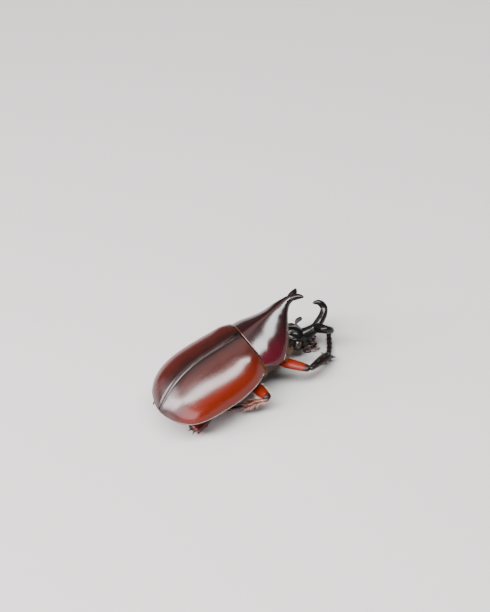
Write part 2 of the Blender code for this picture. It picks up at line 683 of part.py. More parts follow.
def stand_on_floor():
    # stand the model on the floor with its origin under the middle of its box
    pieces = [item for item in bpy.data.objects if item.type == "MESH"]
    corners = [item.matrix_world @ v.co for item in pieces for v in item.data.vertices]
    low = Vector([min(c[axis] for c in corners) for axis in range(3)])
    high = Vector([max(c[axis] for c in corners) for axis in range(3)])
    shift = Vector((-(low.x + high.x) / 2, -(low.y + high.y) / 2, -low.z))
    for item in pieces:
        item.data.transform(Matrix.Translation(shift))
        item.data.shade_smooth()
        item.data.set_sharp_from_angle(angle=SMOOTH_ANGLE)
    print("shift in mm:", [round(value / MM, 3) for value in shift])


def build():
    clear_scene()
    wing_cases()
    thorax, abdomen = trunk()
    pronotum = shield()
    prosternum = breast()
    skull = head(pronotum, prosternum)
    head_horn(skull)
    feelers(skull)
    for name, (side, upper, lower, foot_points) in LEGS.items():
        bodies = (prosternum,) if name.startswith("fore") else (thorax, abdomen)
        leg(name, side, upper, lower, foot_points, bodies)
    stand_on_floor()


build()
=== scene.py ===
import math
import random

import bmesh
import bpy
import numpy as np
from mathutils import Matrix, Vector


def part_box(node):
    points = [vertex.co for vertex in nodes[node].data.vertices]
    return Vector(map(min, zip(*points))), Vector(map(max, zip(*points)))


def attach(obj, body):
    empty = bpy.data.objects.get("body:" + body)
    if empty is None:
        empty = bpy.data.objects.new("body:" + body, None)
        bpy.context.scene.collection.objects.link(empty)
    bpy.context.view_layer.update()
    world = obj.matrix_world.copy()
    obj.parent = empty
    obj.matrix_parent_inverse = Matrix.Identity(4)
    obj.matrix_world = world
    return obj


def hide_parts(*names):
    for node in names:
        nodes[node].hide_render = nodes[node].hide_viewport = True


mm = 0.001
random.seed(7)
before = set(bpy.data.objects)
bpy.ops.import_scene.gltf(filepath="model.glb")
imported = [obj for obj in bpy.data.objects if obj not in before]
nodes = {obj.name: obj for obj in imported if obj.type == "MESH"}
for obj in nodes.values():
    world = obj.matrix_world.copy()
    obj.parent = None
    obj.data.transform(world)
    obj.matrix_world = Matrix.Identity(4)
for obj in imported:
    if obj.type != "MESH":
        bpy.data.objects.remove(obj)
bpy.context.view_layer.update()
seam = Vector((1.617, -1.341, 0)) * mm   # middle of the seam behind the pronotum, on the floor
hindSlant = 0.028                        # the hind body trails a little to the right
bothSides = (("left", 1), ("right", -1))
smoothAngle = math.radians(50)           # edges sharper than this stay sharp
print("frame loaded:", len(nodes), "nodes")


# selection, modifiers and finishing

def addObject(name, data):
    piece = bpy.data.objects.new(name, data)
    bpy.context.scene.collection.objects.link(piece)
    return piece


def selectOnly(piece):
    bpy.ops.object.select_all(action="DESELECT")
    piece.select_set(True)
    bpy.context.view_layer.objects.active = piece


def editMode(piece, kind="VERT"):
    selectOnly(piece)
    bpy.ops.object.mode_set(mode="EDIT")
    bpy.ops.mesh.select_mode(type=kind)
    bpy.ops.mesh.select_all(action="SELECT")


def objectMode():
    bpy.ops.object.mode_set(mode="OBJECT")


def addModifier(piece, kind, **settings):
    selectOnly(piece)
    modifier = piece.modifiers.new(kind.title(), kind)
    for key, value in settings.items():
        setattr(modifier, key, value)
    bpy.ops.object.modifier_apply(modifier=modifier.name)


def smoothOut(piece, levels):
    addModifier(piece, "SUBSURF", levels=levels, render_levels=levels)


def roundEdges(piece, width, angle, levels):
    addModifier(piece, "BEVEL", width=width, segments=2, limit_method="ANGLE",
                angle_limit=math.radians(angle))
    smoothOut(piece, levels)


def joinPieces(name, pieces):
    selectOnly(pieces[0])
    for piece in pieces[1:]:
        piece.select_set(True)
    bpy.ops.object.join()
    joined = bpy.context.view_layer.objects.active
    joined.name = name
    joined.data.name = name
    return joined


def makeOne(piece, voxel, rounds):
    # melts overlapping shapes into one closed skin
    addModifier(piece, "REMESH", mode="VOXEL", voxel_size=voxel, use_smooth_shade=True)
    addModifier(piece, "SMOOTH", factor=0.5, iterations=rounds)
    return piece


def readVectors(items, key):
    flat = np.zeros(len(items) * 3)
    items.foreach_get(key, flat)
    return flat.reshape(-1, 3)


def getPoints(piece):
    return readVectors(piece.data.vertices, "co")


def getNormals(piece):
    return readVectors(piece.data.vertex_normals, "vector")


def setPoints(piece, points):
    piece.data.vertices.foreach_set("co", np.asarray(points, float).ravel())
    piece.data.update()


def finishPiece(piece, material, slot, *replaced):
    piece.data.materials.clear()
    piece.data.materials.append(materials[material])
    selectOnly(piece)
    bpy.ops.object.shade_smooth_by_angle(angle=smoothAngle)
    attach(piece, "root")
    if replaced:
        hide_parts(*replaced)
    return piece


def copyNode(nodeName, pieceName):
    # a merged copy of a node's mesh, in quads where it was lofted
    piece = addObject(pieceName, nodes[nodeName].data.copy())
    piece.data.name = pieceName
    editMode(piece)
    bpy.ops.mesh.customdata_custom_splitnormals_clear()
    bpy.ops.mesh.remove_doubles(threshold=0.00001)
    bpy.ops.mesh.tris_convert_to_quads(face_threshold=math.radians(50), shape_threshold=math.radians(60))
    objectMode()
    return piece


def bodyPlace(ahead, outward, height, side=1):
    return seam + Vector((ahead, side * outward, height)) * mm


def leftOfMiddle(points):
    return points[:, 1] - seam.y - (points[:, 0] - seam.x) * hindSlant


# curves and limbs

limbLook = {
    "tipShare": 0.04, "endRound": 0.55,          # rounded ends: share of the length, share of the radius
    "beadEnd": 0.1, "beadTaper": 8,              # beads thin out to this share over so many points
    "rimTop": 3, "rimRounds": 5,                 # points averaged at each bearing, and smoothing rounds
    "spike": ((0.0, 1.0), (0.35, 0.85), (0.7, 0.58), (1.0, 0.2)),
}


def smoothPath(points, count):
    # even samples of a smooth curve through the points
    p = [Vector(q) for q in points]
    p = [2 * p[0] - p[1]] + p + [2 * p[-1] - p[-2]]
    dense = []
    for i in range(1, len(p) - 2):
        for k in range(16):
            t = k / 16
            cubic = (2 * p[i] + (p[i + 1] - p[i - 1]) * t
                     + (2 * p[i - 1] - 5 * p[i] + 4 * p[i + 1] - p[i + 2]) * t ** 2
                     + (3 * p[i] - p[i - 1] - 3 * p[i + 1] + p[i + 2]) * t ** 3)
            dense.append(cubic / 2)
    dense.append(p[-2])
    steps = [(b - a).length for a, b in zip(dense, dense[1:])]
    reach = np.concatenate([[0], np.cumsum(steps)])
    wanted = np.linspace(0, reach[-1], count)
    columns = [np.interp(wanted, reach, [q[axis] for q in dense]) for axis in range(3)]
    return [Vector(q) for q in zip(*columns)], float(reach[-1])


def straightPath(start, end):
    return [start, start.lerp(end, 0.5), end]


def straightLimb(name, length, stations, sides):
    # stations are (share of the length, half width, half height); the stack stands on the origin
    first, width, height = stations[0]
    bpy.ops.object.select_all(action="DESELECT")
    bpy.ops.mesh.primitive_circle_add(vertices=sides, radius=width, fill_type="NGON",
                                      location=(0, 0, first * length))
    piece = bpy.context.active_object
    piece.name = name
    piece.data.name = name
    bpy.ops.object.transform_apply(location=True, rotation=False, scale=False)
    editMode(piece, "FACE")
    bpy.ops.transform.resize(value=(1, height / width, 1))
    for (low, oldWidth, oldHeight), (high, newWidth, newHeight) in zip(stations, stations[1:]):
        rise = (high - low) * length
        bpy.ops.mesh.extrude_region_move(TRANSFORM_OT_translate={"value": (0, 0, rise)})
        bpy.ops.transform.resize(value=(newWidth / oldWidth, newHeight / oldHeight, 1))
    bpy.ops.mesh.select_all(action="SELECT")
    bpy.ops.mesh.normals_make_consistent(inside=False)
    objectMode()
    return piece


def limbFrames(path):
    # place, level side, upward and forward direction at each point of a path
    last = len(path) - 1
    directions = [(path[min(i + 1, last)] - path[max(i - 1, 0)]).normalized() for i in range(last + 1)]
    across = Vector((0, 0, 1)).cross(directions[0])
    frames = []
    for place, direction in zip(path, directions):
        across = (across - direction * across.dot(direction)).normalized()
        frames.append((place, across.copy(), direction.cross(across), direction))
    return frames


def layAlong(piece, path, length):
    # carries a stack that stands on the origin over to a path; its width stays level
    points = getPoints(piece)
    frames = limbFrames(path)
    share = np.clip(points[:, 2] / length, 0, 1) * (len(path) - 1)
    low = np.minimum(share.astype(int), len(path) - 2)
    mix = (share - low)[:, None]
    table = [np.array([f[part][:] for f in frames]) for part in range(4)]
    spot, side, upward, ahead = [part[low] * (1 - mix) + part[low + 1] * mix for part in table]
    beyond = points[:, 2] - np.clip(points[:, 2], 0, length)
    laid = spot + side * points[:, :1] + upward * points[:, 1:2] + ahead * beyond[:, None]
    along = piece.data.attributes.get("along") or piece.data.attributes.new("along", "FLOAT", "POINT")
    along.data.foreach_set("value", np.clip(points[:, 2] / length, 0, 1).astype(np.float32))
    setPoints(piece, laid)
    return piece


def makeLimb(name, points, stations, sides=12, levels=1, samples=40):
    path, length = smoothPath(points, samples)
    piece = straightLimb(name, length, stations, sides)
    smoothOut(piece, levels)
    return layAlong(piece, path, length)


def roundStations(radii, flat=1.0):
    # even stations with a rounded end on each side, from radii in mm
    radii = [r * mm for r in radii]
    tip, ending = limbLook["tipShare"], limbLook["endRound"]
    first, last = [(share, r * ending, r * ending * flat) for share, r in ((0.0, radii[0]), (1.0, radii[-1]))]
    inner = [tip + (1 - 2 * tip) * i / (len(radii) - 1) for i in range(len(radii))]
    return [first] + [(share, r, r * flat) for share, r in zip(inner, radii)] + [last]


def taperStations(radius, shape):
    return [(share, radius * wide, radius * wide) for share, wide in shape]


def spike(name, root, tip, radius):
    return makeLimb(name, straightPath(root, tip), taperStations(radius, limbLook["spike"]), 8, 1, 12)


def makeBead(name, path, radius):
    # thin round rim that follows a path
    curve = bpy.data.curves.new(name, "CURVE")
    curve.dimensions = "3D"
    spline = curve.splines.new("POLY")
    spline.points.add(len(path) - 1)
    for point, place in zip(spline.points, path):
        point.co = (*place, 1)
    end, taper = limbLook["beadEnd"], limbLook["beadTaper"]
    for i in range(taper):
        for at in (i, -1 - i):
            spline.points[at].radius = end + (1 - end) * i / taper
    curve.bevel_depth = radius
    curve.bevel_resolution = 2
    curve.use_fill_caps = True
    selectOnly(addObject(name, curve))
    bpy.ops.object.convert(target="MESH")
    piece = bpy.context.active_object
    editMode(piece)
    bpy.ops.mesh.remove_doubles(threshold=0.000002)
    bpy.ops.mesh.normals_make_consistent(inside=False)
    objectMode()
    return piece


def outlinePath(piece, centre, startAngle, endAngle, count):
    # widest points of a piece seen from above, by bearing from a centre
    points = getPoints(piece)
    dx = points[:, 0] - centre[0]
    dy = points[:, 1] - centre[1]
    bearing = np.degrees(np.arctan2(dy, dx)) % 360
    reach = np.hypot(dx, dy)
    path = []
    half = abs(endAngle - startAngle) / count
    for i in range(count):
        wanted = (startAngle + (endAngle - startAngle) * i / (count - 1)) % 360
        near = np.abs((bearing - wanted + 180) % 360 - 180) < half
        if near.any():
            rim = points[near][np.argsort(reach[near])[-limbLook["rimTop"]:]]
            path.append(Vector(rim.mean(axis=0)))
    for i in range(limbLook["rimRounds"]):
        inner = [(a + b * 2 + c) / 4 for a, b, c in zip(path, path[1:], path[2:])]
        path = [path[0]] + inner + [path[-1]]
    return smoothPath(path, count * 2)[0]


def makeRim(name, piece, centre, side, look, slot):
    # bead along the outline of one side; the sweep in the dictionary is the left one
    sweep = [angle if side > 0 else 360 - angle for angle in look["rimSweep"]]
    path = outlinePath(piece, centre, *sweep, look["rimPoints"])
    finishPiece(makeBead(name, path, look["rimRadius"]), "rim", slot)


# shader maths on sockets

class Wire:
    def __init__(self, tree, socket=None):
        self.tree = tree
        self.socket = socket

    def node(self, kind, settings=None, inputs=None, output=0):
        made = self.tree.nodes.new(kind)
        for key, value in (settings or {}).items():
            setattr(made, key, value)
        for key, value in (inputs or {}).items():
            if isinstance(value, Wire):
                self.tree.links.new(value.socket, made.inputs[key])
            else:
                made.inputs[key].default_value = value
        return Wire(self.tree, made.outputs[output])

    def maths(self, operation, first, second=0.0):
        return self.node("ShaderNodeMath", {"operation": operation}, {0: first, 1: second})

    def __add__(self, other):
        return self.maths("ADD", self, other)

    def __radd__(self, other):
        return self.maths("ADD", other, self)

    def __sub__(self, other):
        return self.maths("SUBTRACT", self, other)

    def __rsub__(self, other):
        return self.maths("SUBTRACT", other, self)

    def __mul__(self, other):
        return self.maths("MULTIPLY", self, other)

    def __rmul__(self, other):
        return self.maths("MULTIPLY", other, self)

    def __abs__(self):
        return self.maths("ABSOLUTE", self)

    def ease(self, low, high):
        # 0 below low, 1 above high, smooth between
        return self.node("ShaderNodeMapRange", {"interpolation_type": "SMOOTHSTEP"},
                         {"Value": self, "From Min": low, "From Max": high})

    def blend(self, colourA, colourB):
        return self.node("ShaderNodeMix", {"data_type": "RGBA"}, {0: self, 6: colourA, 7: colourB}, 2)

    def axis(self, index):
        return self.node("ShaderNodeSeparateXYZ", None, {0: self}, index)

    def stretched(self, scale):
        return self.node("ShaderNodeMapping", None, {"Vector": self, "Scale": scale})

    def noise(self, scale, detail=3.0):
        return self.node("ShaderNodeTexNoise", None, {"Vector": self, "Scale": scale, "Detail": detail})

    def cells(self, scale):
        return self.node("ShaderNodeTexVoronoi", None, {"Vector": self, "Scale": scale})

    def pits(self, scale, size):
        # 1 between the pits, falling to 0 in each
        return self.cells(scale).ease(0.0, size)

    def bump(self, strength, depth):
        return self.node("ShaderNodeBump", None, {"Height": self, "Strength": strength, "Distance": depth})

    def into(self, socketName):
        self.tree.links.new(self.socket, self.tree.nodes["Principled BSDF"].inputs[socketName])


def startMaterial(name, look):
    # a new material with its plain numbers set, and the place on the piece to paint by
    material = bpy.data.materials.new(name)
    material.use_nodes = True
    shader = material.node_tree.nodes["Principled BSDF"]
    for key, socket in (("colour", "Base Color"), ("rough", "Roughness"), ("coat", "Coat Weight"),
                        ("coatRough", "Coat Roughness"), ("specular", "Specular IOR Level")):
        if key in look:
            shader.inputs[socket].default_value = look[key]
    return material, Wire(material.node_tree).node("ShaderNodeTexCoord", output="Object")


# pits are scale and size, noises scale and detail; relief is strength and depth
caseLook = {
    "middle": (0.0045, 0.0012, 0.0010, 1), "body": (0.017, 0.0018, 0.0010, 1),
    "flank": (0.062, 0.0044, 0.0006, 1),
    "rough": 0.18, "coat": 0.05, "coatRough": 0.12, "specular": 0.36,
    "bodyFrom": (0.4 * mm, 5.0 * mm), "flankFrom": (5.5 * mm, 11.0 * mm),   # outward from the seam
    "clouds": (240, 3), "cloudDrift": 2.6 * mm, "lines": (900, 4), "lineDrift": 1.2 * mm, "lineRough": 0.14,
    "streaks": (0.22, 1.0, 1.0),   # the fine lines run along the body
    "pits": (2600, 0.35), "pitShare": 0.1, "waves": (420, 2), "waveShare": 0.6, "relief": (0.35, 0.00003),
}


def caseMaterial():
    # dark along the seam, red brown beyond it and red orange on the flank
    look = caseLook
    material, place = startMaterial("wing case cuticle", look)
    offset = abs(place.axis(1) - seam.y - (place.axis(0) - seam.x) * hindSlant)
    lines = place.stretched(look["streaks"]).noise(*look["lines"])
    clouds = place.noise(*look["clouds"])
    spread = offset + (clouds - 0.5) * look["cloudDrift"] + (lines - 0.5) * look["lineDrift"]
    near = spread.ease(*look["bodyFrom"]).blend(look["middle"], look["body"])
    spread.ease(*look["flankFrom"]).blend(near, look["flank"]).into("Base Color")
    (look["rough"] + lines * look["lineRough"]).into("Roughness")
    height = place.pits(*look["pits"]) * look["pitShare"] + place.noise(*look["waves"]) * look["waveShare"]
    (height + lines * look["waveShare"]).bump(*look["relief"]).into("Normal")
    return material


shieldLook = {
    "top": (0.006, 0.0012, 0.0013, 1), "side": (0.030, 0.0018, 0.0046, 1),
    "horn": (0.0025, 0.0010, 0.0010, 1),
    "rough": 0.15, "coat": 0.05, "coatRough": 0.1, "specular": 0.36, "clouds": (300, 3), "drift": 2.0 * mm,
    "sideFrom": (3.5 * mm, 9.0 * mm), "hornFrom": (8.5 * mm, 15.0 * mm),
    "grain": (1100, 4), "grainShare": 0.08,
    "pits": (3000, 0.3), "pitShare": 0.3, "waves": (380, 2), "waveShare": 0.7, "relief": (0.3, 0.000015),
}


def shieldMaterial():
    # dark crown, crimson sides and a black horn
    look = shieldLook
    material, place = startMaterial("pronotum cuticle", look)
    drift = (place.noise(*look["clouds"]) - 0.5) * look["drift"]
    outward = abs(place.axis(1) - seam.y) + drift
    body = outward.ease(*look["sideFrom"]).blend(look["top"], look["side"])
    ahead = place.axis(0) - seam.x + drift
    ahead.ease(*look["hornFrom"]).blend(body, look["horn"]).into("Base Color")
    (look["rough"] + place.noise(*look["grain"]) * look["grainShare"]).into("Roughness")
    height = place.pits(*look["pits"]) * look["pitShare"] + place.noise(*look["waves"]) * look["waveShare"]
    height.bump(*look["relief"]).into("Normal")
    return material


eyeLook = {"dark": (0.006, 0.005, 0.005, 1), "glow": (0.02, 0.009, 0.006, 1), "rough": 0.14, "coat": 0.3,
           "coatRough": 0.06, "facetScale": 9000, "glowFrom": (0.0, 0.8), "relief": (0.15, 0.00002)}


def eyeMaterial():
    look = eyeLook
    material, place = startMaterial("compound eye", look)
    facets = place.cells(look["facetScale"])
    facets.ease(*look["glowFrom"]).blend(look["dark"], look["glow"]).into("Base Color")
    (1 - facets).bump(*look["relief"]).into("Normal")
    return material


# finishes with two tones: mix is where the clouds turn from the first tone to the second
finishes = {
    # beaded edges
    "rim": {"tones": ((0.030, 0.006, 0.005, 1), (0.010, 0.0025, 0.002, 1)), "mix": (0.35, 0.7),
            "clouds": (700, 3), "rough": 0.16, "coat": 0.5, "coatRough": 0.03,
            "grain": (700, 3), "grainShare": 0.08},
    "black": {"tones": ((0.0022, 0.0018, 0.0019, 1), (0.009, 0.003, 0.0024, 1)), "mix": (0.45, 0.8),
              "clouds": (420, 4), "rough": 0.20, "specular": 0.22, "grain": (1500, 3), "grainShare": 0.10,
              "pits": (3800, 0.45), "shares": (0.8, 0.5), "relief": (0.30, 0.000012)},
    # thighs: orange red, dark at the knee, with the edge of the dark blurred by the clouds
    "red": {"tones": ((0.078, 0.0046, 0.0005, 1), (0.005, 0.0016, 0.0014, 1)), "mix": (0.80, 0.95),
            "blur": 0.16,
            "clouds": (520, 4), "rough": 0.33, "specular": 0.15, "grain": (520, 4), "grainShare": 0.12,
            "pits": (3000, 0.4), "shares": (1, 1), "relief": (0.3, 0.00003)},
    # middle and hind shins
    "shin": {"tones": ((0.048, 0.0042, 0.0022, 1), (0.005, 0.0022, 0.002, 1)), "mix": (0.50, 0.72),
             "clouds": (480, 4), "rough": 0.26, "specular": 0.35, "grain": (1500, 3), "grainShare": 0.12,
             "pits": (3400, 0.45), "shares": (0.8, 0.5), "relief": (0.35, 0.00002)},
    # brown, with painted shade: black under the front of the pronotum, which also gives the feeler clubs that
    # far forward their own dark
    "underside": {"tones": ((0.020, 0.006, 0.004, 1), (0.085, 0.020, 0.008, 1)), "mix": (0.3, 0.75),
                  "front": (0.004, 0.002, 0.002, 1), "frontFrom": (6.5 * mm, 9.0 * mm),
                  "clouds": (330, 5), "rough": 0.40, "specular": 0.25, "grain": (330, 5), "grainShare": 0.15,
                  "pits": (2200, 0.5), "shares": (1, 0.5), "relief": (0.5, 0.00005)},
}

hairFinish = {"mix": (0.3, 0.7), "clouds": (1400, 2), "rough": 0.42}
hairTones = {"golden": ((0.032, 0.013, 0.004, 1), (0.125, 0.060, 0.020, 1)),
             "dark": ((0.012, 0.005, 0.003, 1), (0.07, 0.028, 0.012, 1)),
             "pale": ((0.34, 0.17, 0.08, 1), (0.78, 0.66, 0.50, 1)),
             "russet": ((0.16, 0.05, 0.018, 1), (0.42, 0.19, 0.07, 1))}


def mottledMaterial(name, look):
    # clouds of two tones over fine pits
    material, place = startMaterial(name, look)
    clouds = place.noise(*look["clouds"])
    mask = clouds
    if "blur" in look:
        along = place.node("ShaderNodeAttribute", {"attribute_name": "along"}, output="Fac")
        mask = along + (clouds - 0.5) * look["blur"]
    colour = mask.ease(*look["mix"]).blend(*look["tones"])
    # painted shade: the front of the underside darkens to black under the pronotum's front edge; the feeler
    # clubs get the same black as their own dark
    if "front" in look:
        colour = (place.axis(0) - seam.x).ease(*look["frontFrom"]).blend(colour, look["front"])
    colour.into("Base Color")
    if "grain" in look:
        (look["rough"] + place.noise(*look["grain"]) * look["grainShare"]).into("Roughness")
    if "pits" in look:
        pitShare, cloudShare = look["shares"]
        (place.pits(*look["pits"]) * pitShare + clouds * cloudShare).bump(*look["relief"]).into("Normal")
    return material


materials = {"case": caseMaterial(), "shield": shieldMaterial(), "eye": eyeMaterial()}
for name, look in finishes.items():
    materials[name] = mottledMaterial(name + " cuticle", look)
for name, tones in hairTones.items():
    materials[name] = mottledMaterial(name + " hair", {**hairFinish, "tones": tones})
print("materials made")


# camera and light

photoFrame = {
    "width": 490, "height": 612, "scale": 3.83,   # pixels for each millimetre of beetle
    "seamPixel": (242, 331),                      # where the crest of the seam falls
    "seamCrest": Vector((1.617, -1.341, 17.0)) * mm,
    "turns": (45, 13, 30),                        # tilt, swing and roll in degrees
    "distance": 0.60, "sensorHeight": 24.0,       # metres, millimetres
}


def placeCamera():
    look = photoFrame
    tilt, swing, roll = [math.radians(angle) for angle in look["turns"]]
    forward = Vector((math.cos(swing), -math.sin(swing) * math.cos(tilt), math.sin(swing) * math.sin(tilt)))
    sideways = Vector((0, -math.sin(tilt), -math.cos(tilt)))
    right = forward * math.cos(roll) + sideways * math.sin(roll)
    upward = forward * math.sin(roll) - sideways * math.cos(roll)
    back = right.cross(upward)
    shiftRight = (look["width"] / 2 - look["seamPixel"][0]) / look["scale"] * mm
    shiftUp = (look["seamPixel"][1] - look["height"] / 2) / look["scale"] * mm
    centre = look["seamCrest"] + right * shiftRight + upward * shiftUp
    camera = bpy.data.cameras.new("camera")
    camera.sensor_fit = "VERTICAL"
    camera.sensor_height = look["sensorHeight"]
    seen = look["height"] / look["scale"] * mm
    camera.lens = look["sensorHeight"] * look["distance"] / seen
    camera.clip_start = 0.01
    holder = addObject("camera", camera)
    turn = Matrix((right, upward, back)).transposed().to_4x4()
    holder.matrix_world = Matrix.Translation(centre + back * look["distance"]) @ turn
    bpy.context.scene.camera = holder


studio = {
    "floor": {"colour": (0.25, 0.25, 0.245, 1), "rough": 0.6}, "floorSize": 12.0,
    "sky": (0.80, 0.86, 0.92, 1), "skyStrength": 0.20,
    # each lamp: place, size along and across, watts, direction of its long side, colour;
    # all point at the beetle
    "lamps": {
        "strip": ((-0.070, -0.118, 0.50), (0.80, 0.18), 18.0, (0.90, -0.43, 0), (1, 1, 1)),
        "tail": ((-0.38, 0.18, 0.27), (0.42, 0.13), 5.0, (-0.21, 0.43, -0.64), (1, 0.96, 0.97)),
        "far": ((-0.06, 0.19, 0.45), (0.72, 0.22), 1.3, (1, 0, 0), (1, 0.70, 0.66)),
        "rear": ((-0.42, -0.04, 0.20), (1.05, 0.30), 9.0, (0, 1, 0), (1, 0.74, 0.80)),
    },
}


def placeStudio():
    bpy.ops.object.select_all(action="DESELECT")
    bpy.ops.mesh.primitive_plane_add(size=studio["floorSize"], location=(0, 0, 0))
    floor = bpy.context.active_object
    floor.name = "floor"
    floor.data.materials.append(startMaterial("pale floor", studio["floor"])[0])
    for name, (place, size, watts, longSide, colour) in studio["lamps"].items():
        lamp = bpy.data.lights.new(name, "AREA")
        lamp.shape = "RECTANGLE"
        lamp.size, lamp.size_y = size
        lamp.energy = watts
        lamp.color = colour
        away = Vector(place).normalized()
        along = Vector(longSide)
        along = (along - away * along.dot(away)).normalized()
        turn = Matrix((along, away.cross(along), away)).transposed().to_4x4()
        addObject(name, lamp).matrix_world = Matrix.Translation(place) @ turn
    world = bpy.data.worlds.new("studio")
    world.use_nodes = True
    sky = world.node_tree.nodes["Background"]
    sky.inputs["Color"].default_value = studio["sky"]
    sky.inputs["Strength"].default_value = studio["skyStrength"]
    bpy.context.scene.world = world


placeCamera()
placeStudio()
print("camera and studio placed")


# wing cases and the small plate between them

wingCase = {
    "edges": (0.12 * mm, 55, 3),   # width of the rounding, sharpest angle left alone, subdivision levels
    "grooveFrom": 0.55 * mm, "grooveWidth": 0.14 * mm, "grooveDepth": 0.08 * mm,
    "ridgeFrom": 0.24 * mm, "ridgeHeight": 0.02 * mm,
    "outerFrom": 0.15,             # upward lean of the normals from which the skin counts as the outer one
    # swellings: share of the length, share of the half width, height, reach
    "swellings": ((0.10, 0.62, 0.30 * mm, 2.2 * mm), (0.84, 0.50, 0.25 * mm, 2.4 * mm)),
    "length": 28.2 * mm, "halfWidth": 12.3 * mm,
    "shoulderPull": 0.40 * mm, "shoulderReach": 2.1 * mm,   # rounds off the front corner
    # fills the notch where the cases end, over the last of so many parts of the length
    "tailPush": 0.55 * mm, "tailReach": 2.4 * mm, "tailParts": 12,
    "rimSweep": (25, 178), "rimRadius": 0.15 * mm, "rimPoints": 60,
    # thin bead that closes the gap between the cases, from behind the small plate
    "seamFrom": 0.13, "seamTo": 0.965, "seamDrop": 0.10 * mm, "seamRadius": 0.15 * mm, "seamPoints": 60,
    "seamReach": 0.5 * mm, "seamWindow": 0.3 * mm,
}


def buildWingCase(word, side):
    look = wingCase
    piece = copyNode("elytron_" + word, "wingCase" + word.title())
    roundEdges(piece, *look["edges"])
    points = getPoints(piece)
    normals = getNormals(piece)
    outward = leftOfMiddle(points) * side
    move = -look["grooveDepth"] * np.exp(-((outward - look["grooveFrom"]) / look["grooveWidth"]) ** 2)
    move += look["ridgeHeight"] * np.exp(-((outward - look["ridgeFrom"]) / look["grooveWidth"]) ** 2)
    for share, half, height, reach in look["swellings"]:
        dx = points[:, 0] - (seam.x - share * look["length"])
        dy = outward - half * look["halfWidth"]
        move += height * np.exp(-(dx ** 2 + dy ** 2) / reach ** 2)
    points += normals * (move * (normals[:, 2] > look["outerFrom"]))[:, None]
    corner = points[np.argmax(points[:, 0] + outward)]
    away = np.hypot(points[:, 0] - corner[0], points[:, 1] - corner[1])
    pull = look["shoulderPull"] * np.exp(-(away / look["shoulderReach"]) ** 2)
    points[:, 0] -= pull
    points[:, 1] -= pull * side
    parts = look["tailParts"]
    rear = np.clip((seam.x - points[:, 0]) / look["length"] * parts - (parts - 1), 0, 1)
    points[:, 0] -= rear * look["tailPush"] * np.exp(-(outward / look["tailReach"]) ** 2)
    setPoints(piece, points)
    middle = (seam.x - look["length"] / 2, seam.y)
    makeRim("wingCaseRim" + word.title(), piece, middle, side, look, "wing_case")
    return finishPiece(piece, "case", "wing_case", "elytron_" + word)


def buildSeam(cases):
    look = wingCase
    points = np.concatenate([getPoints(case) for case in cases])
    crest = points[np.abs(leftOfMiddle(points)) < look["seamReach"]]
    path = []
    for share in np.linspace(look["seamFrom"], look["seamTo"], look["seamPoints"]):
        x = seam.x - share * look["length"]
        near = crest[np.abs(crest[:, 0] - x) < look["seamWindow"]]
        path.append(Vector((x, seam.y + (x - seam.x) * hindSlant, near[:, 2].max() - look["seamDrop"])))
    bead = makeBead("wingCaseSeam", smoothPath(path, look["seamPoints"])[0], look["seamRadius"])
    finishPiece(bead, "case", "wing_case")


def buildScutellum():
    piece = copyNode("scutellum", "scutellumPlate")
    roundEdges(piece, 0.08 * mm, 50, 2)
    finishPiece(piece, "black", "black_cuticle", "scutellum")


buildSeam([buildWingCase(word, side) for word, side in bothSides])
buildScutellum()
print("wing cases built")


# pronotum with its horn in one skin

shieldPart = {
    "hornRoot": 13.2 * mm, "rootSlack": 0.3 * mm, "edges": (0.14 * mm, 60, 2), "centre": 5.5 * mm,
    "rimSweep": (36, 118), "rimRadius": 0.11 * mm, "rimPoints": 36,
    # hind edge, which bows back at the middle
    "hindEdge": 0.3 * mm, "hindBow": 0.795 * mm, "hindHalfWidth": 9.3 * mm, "marginHeight": 11.0 * mm,
    "hindSlack": 0.03 * mm, "marginSlack": 0.05 * mm,
    "hindBeadRadius": 0.14 * mm, "hindBeadAhead": 0.12 * mm, "hindBeadPoints": 72,
    # fork at the end of the horn: forward of the seam, outward, height, in mm
    "prong": ((14.6, 0.30, 18.7), (16.2, 0.55, 18.75), (17.4, 1.15, 18.7), (18.35, 2.05, 18.6)),
    "prongRadii": (0.45, 0.85, 1.02, 1.02, 0.88, 0.64, 0.34), "prongFlat": 0.85,
    "forkSkin": (0.09 * mm, 4),   # voxel and smoothing rounds
}


def hindEdge():
    # the pronotum's hind edge over the top, from its left side to its right
    look = shieldPart
    found = {}
    for point in getPoints(nodes["pronotum"]):
        y = point[1] - seam.y
        bow = look["hindBow"] * max(0.0, 1 - (y / look["hindHalfWidth"]) ** 2)
        onEdge = abs(point[0] - seam.x - look["hindEdge"] + bow) < look["hindSlack"]
        if onEdge and point[2] > look["marginHeight"] - look["marginSlack"]:
            bearing = math.atan2(point[2] - look["marginHeight"], y)
            found[round(bearing, 3)] = Vector(point) + Vector((look["hindBeadAhead"], 0, 0))
    return [found[bearing] for bearing in sorted(found)]


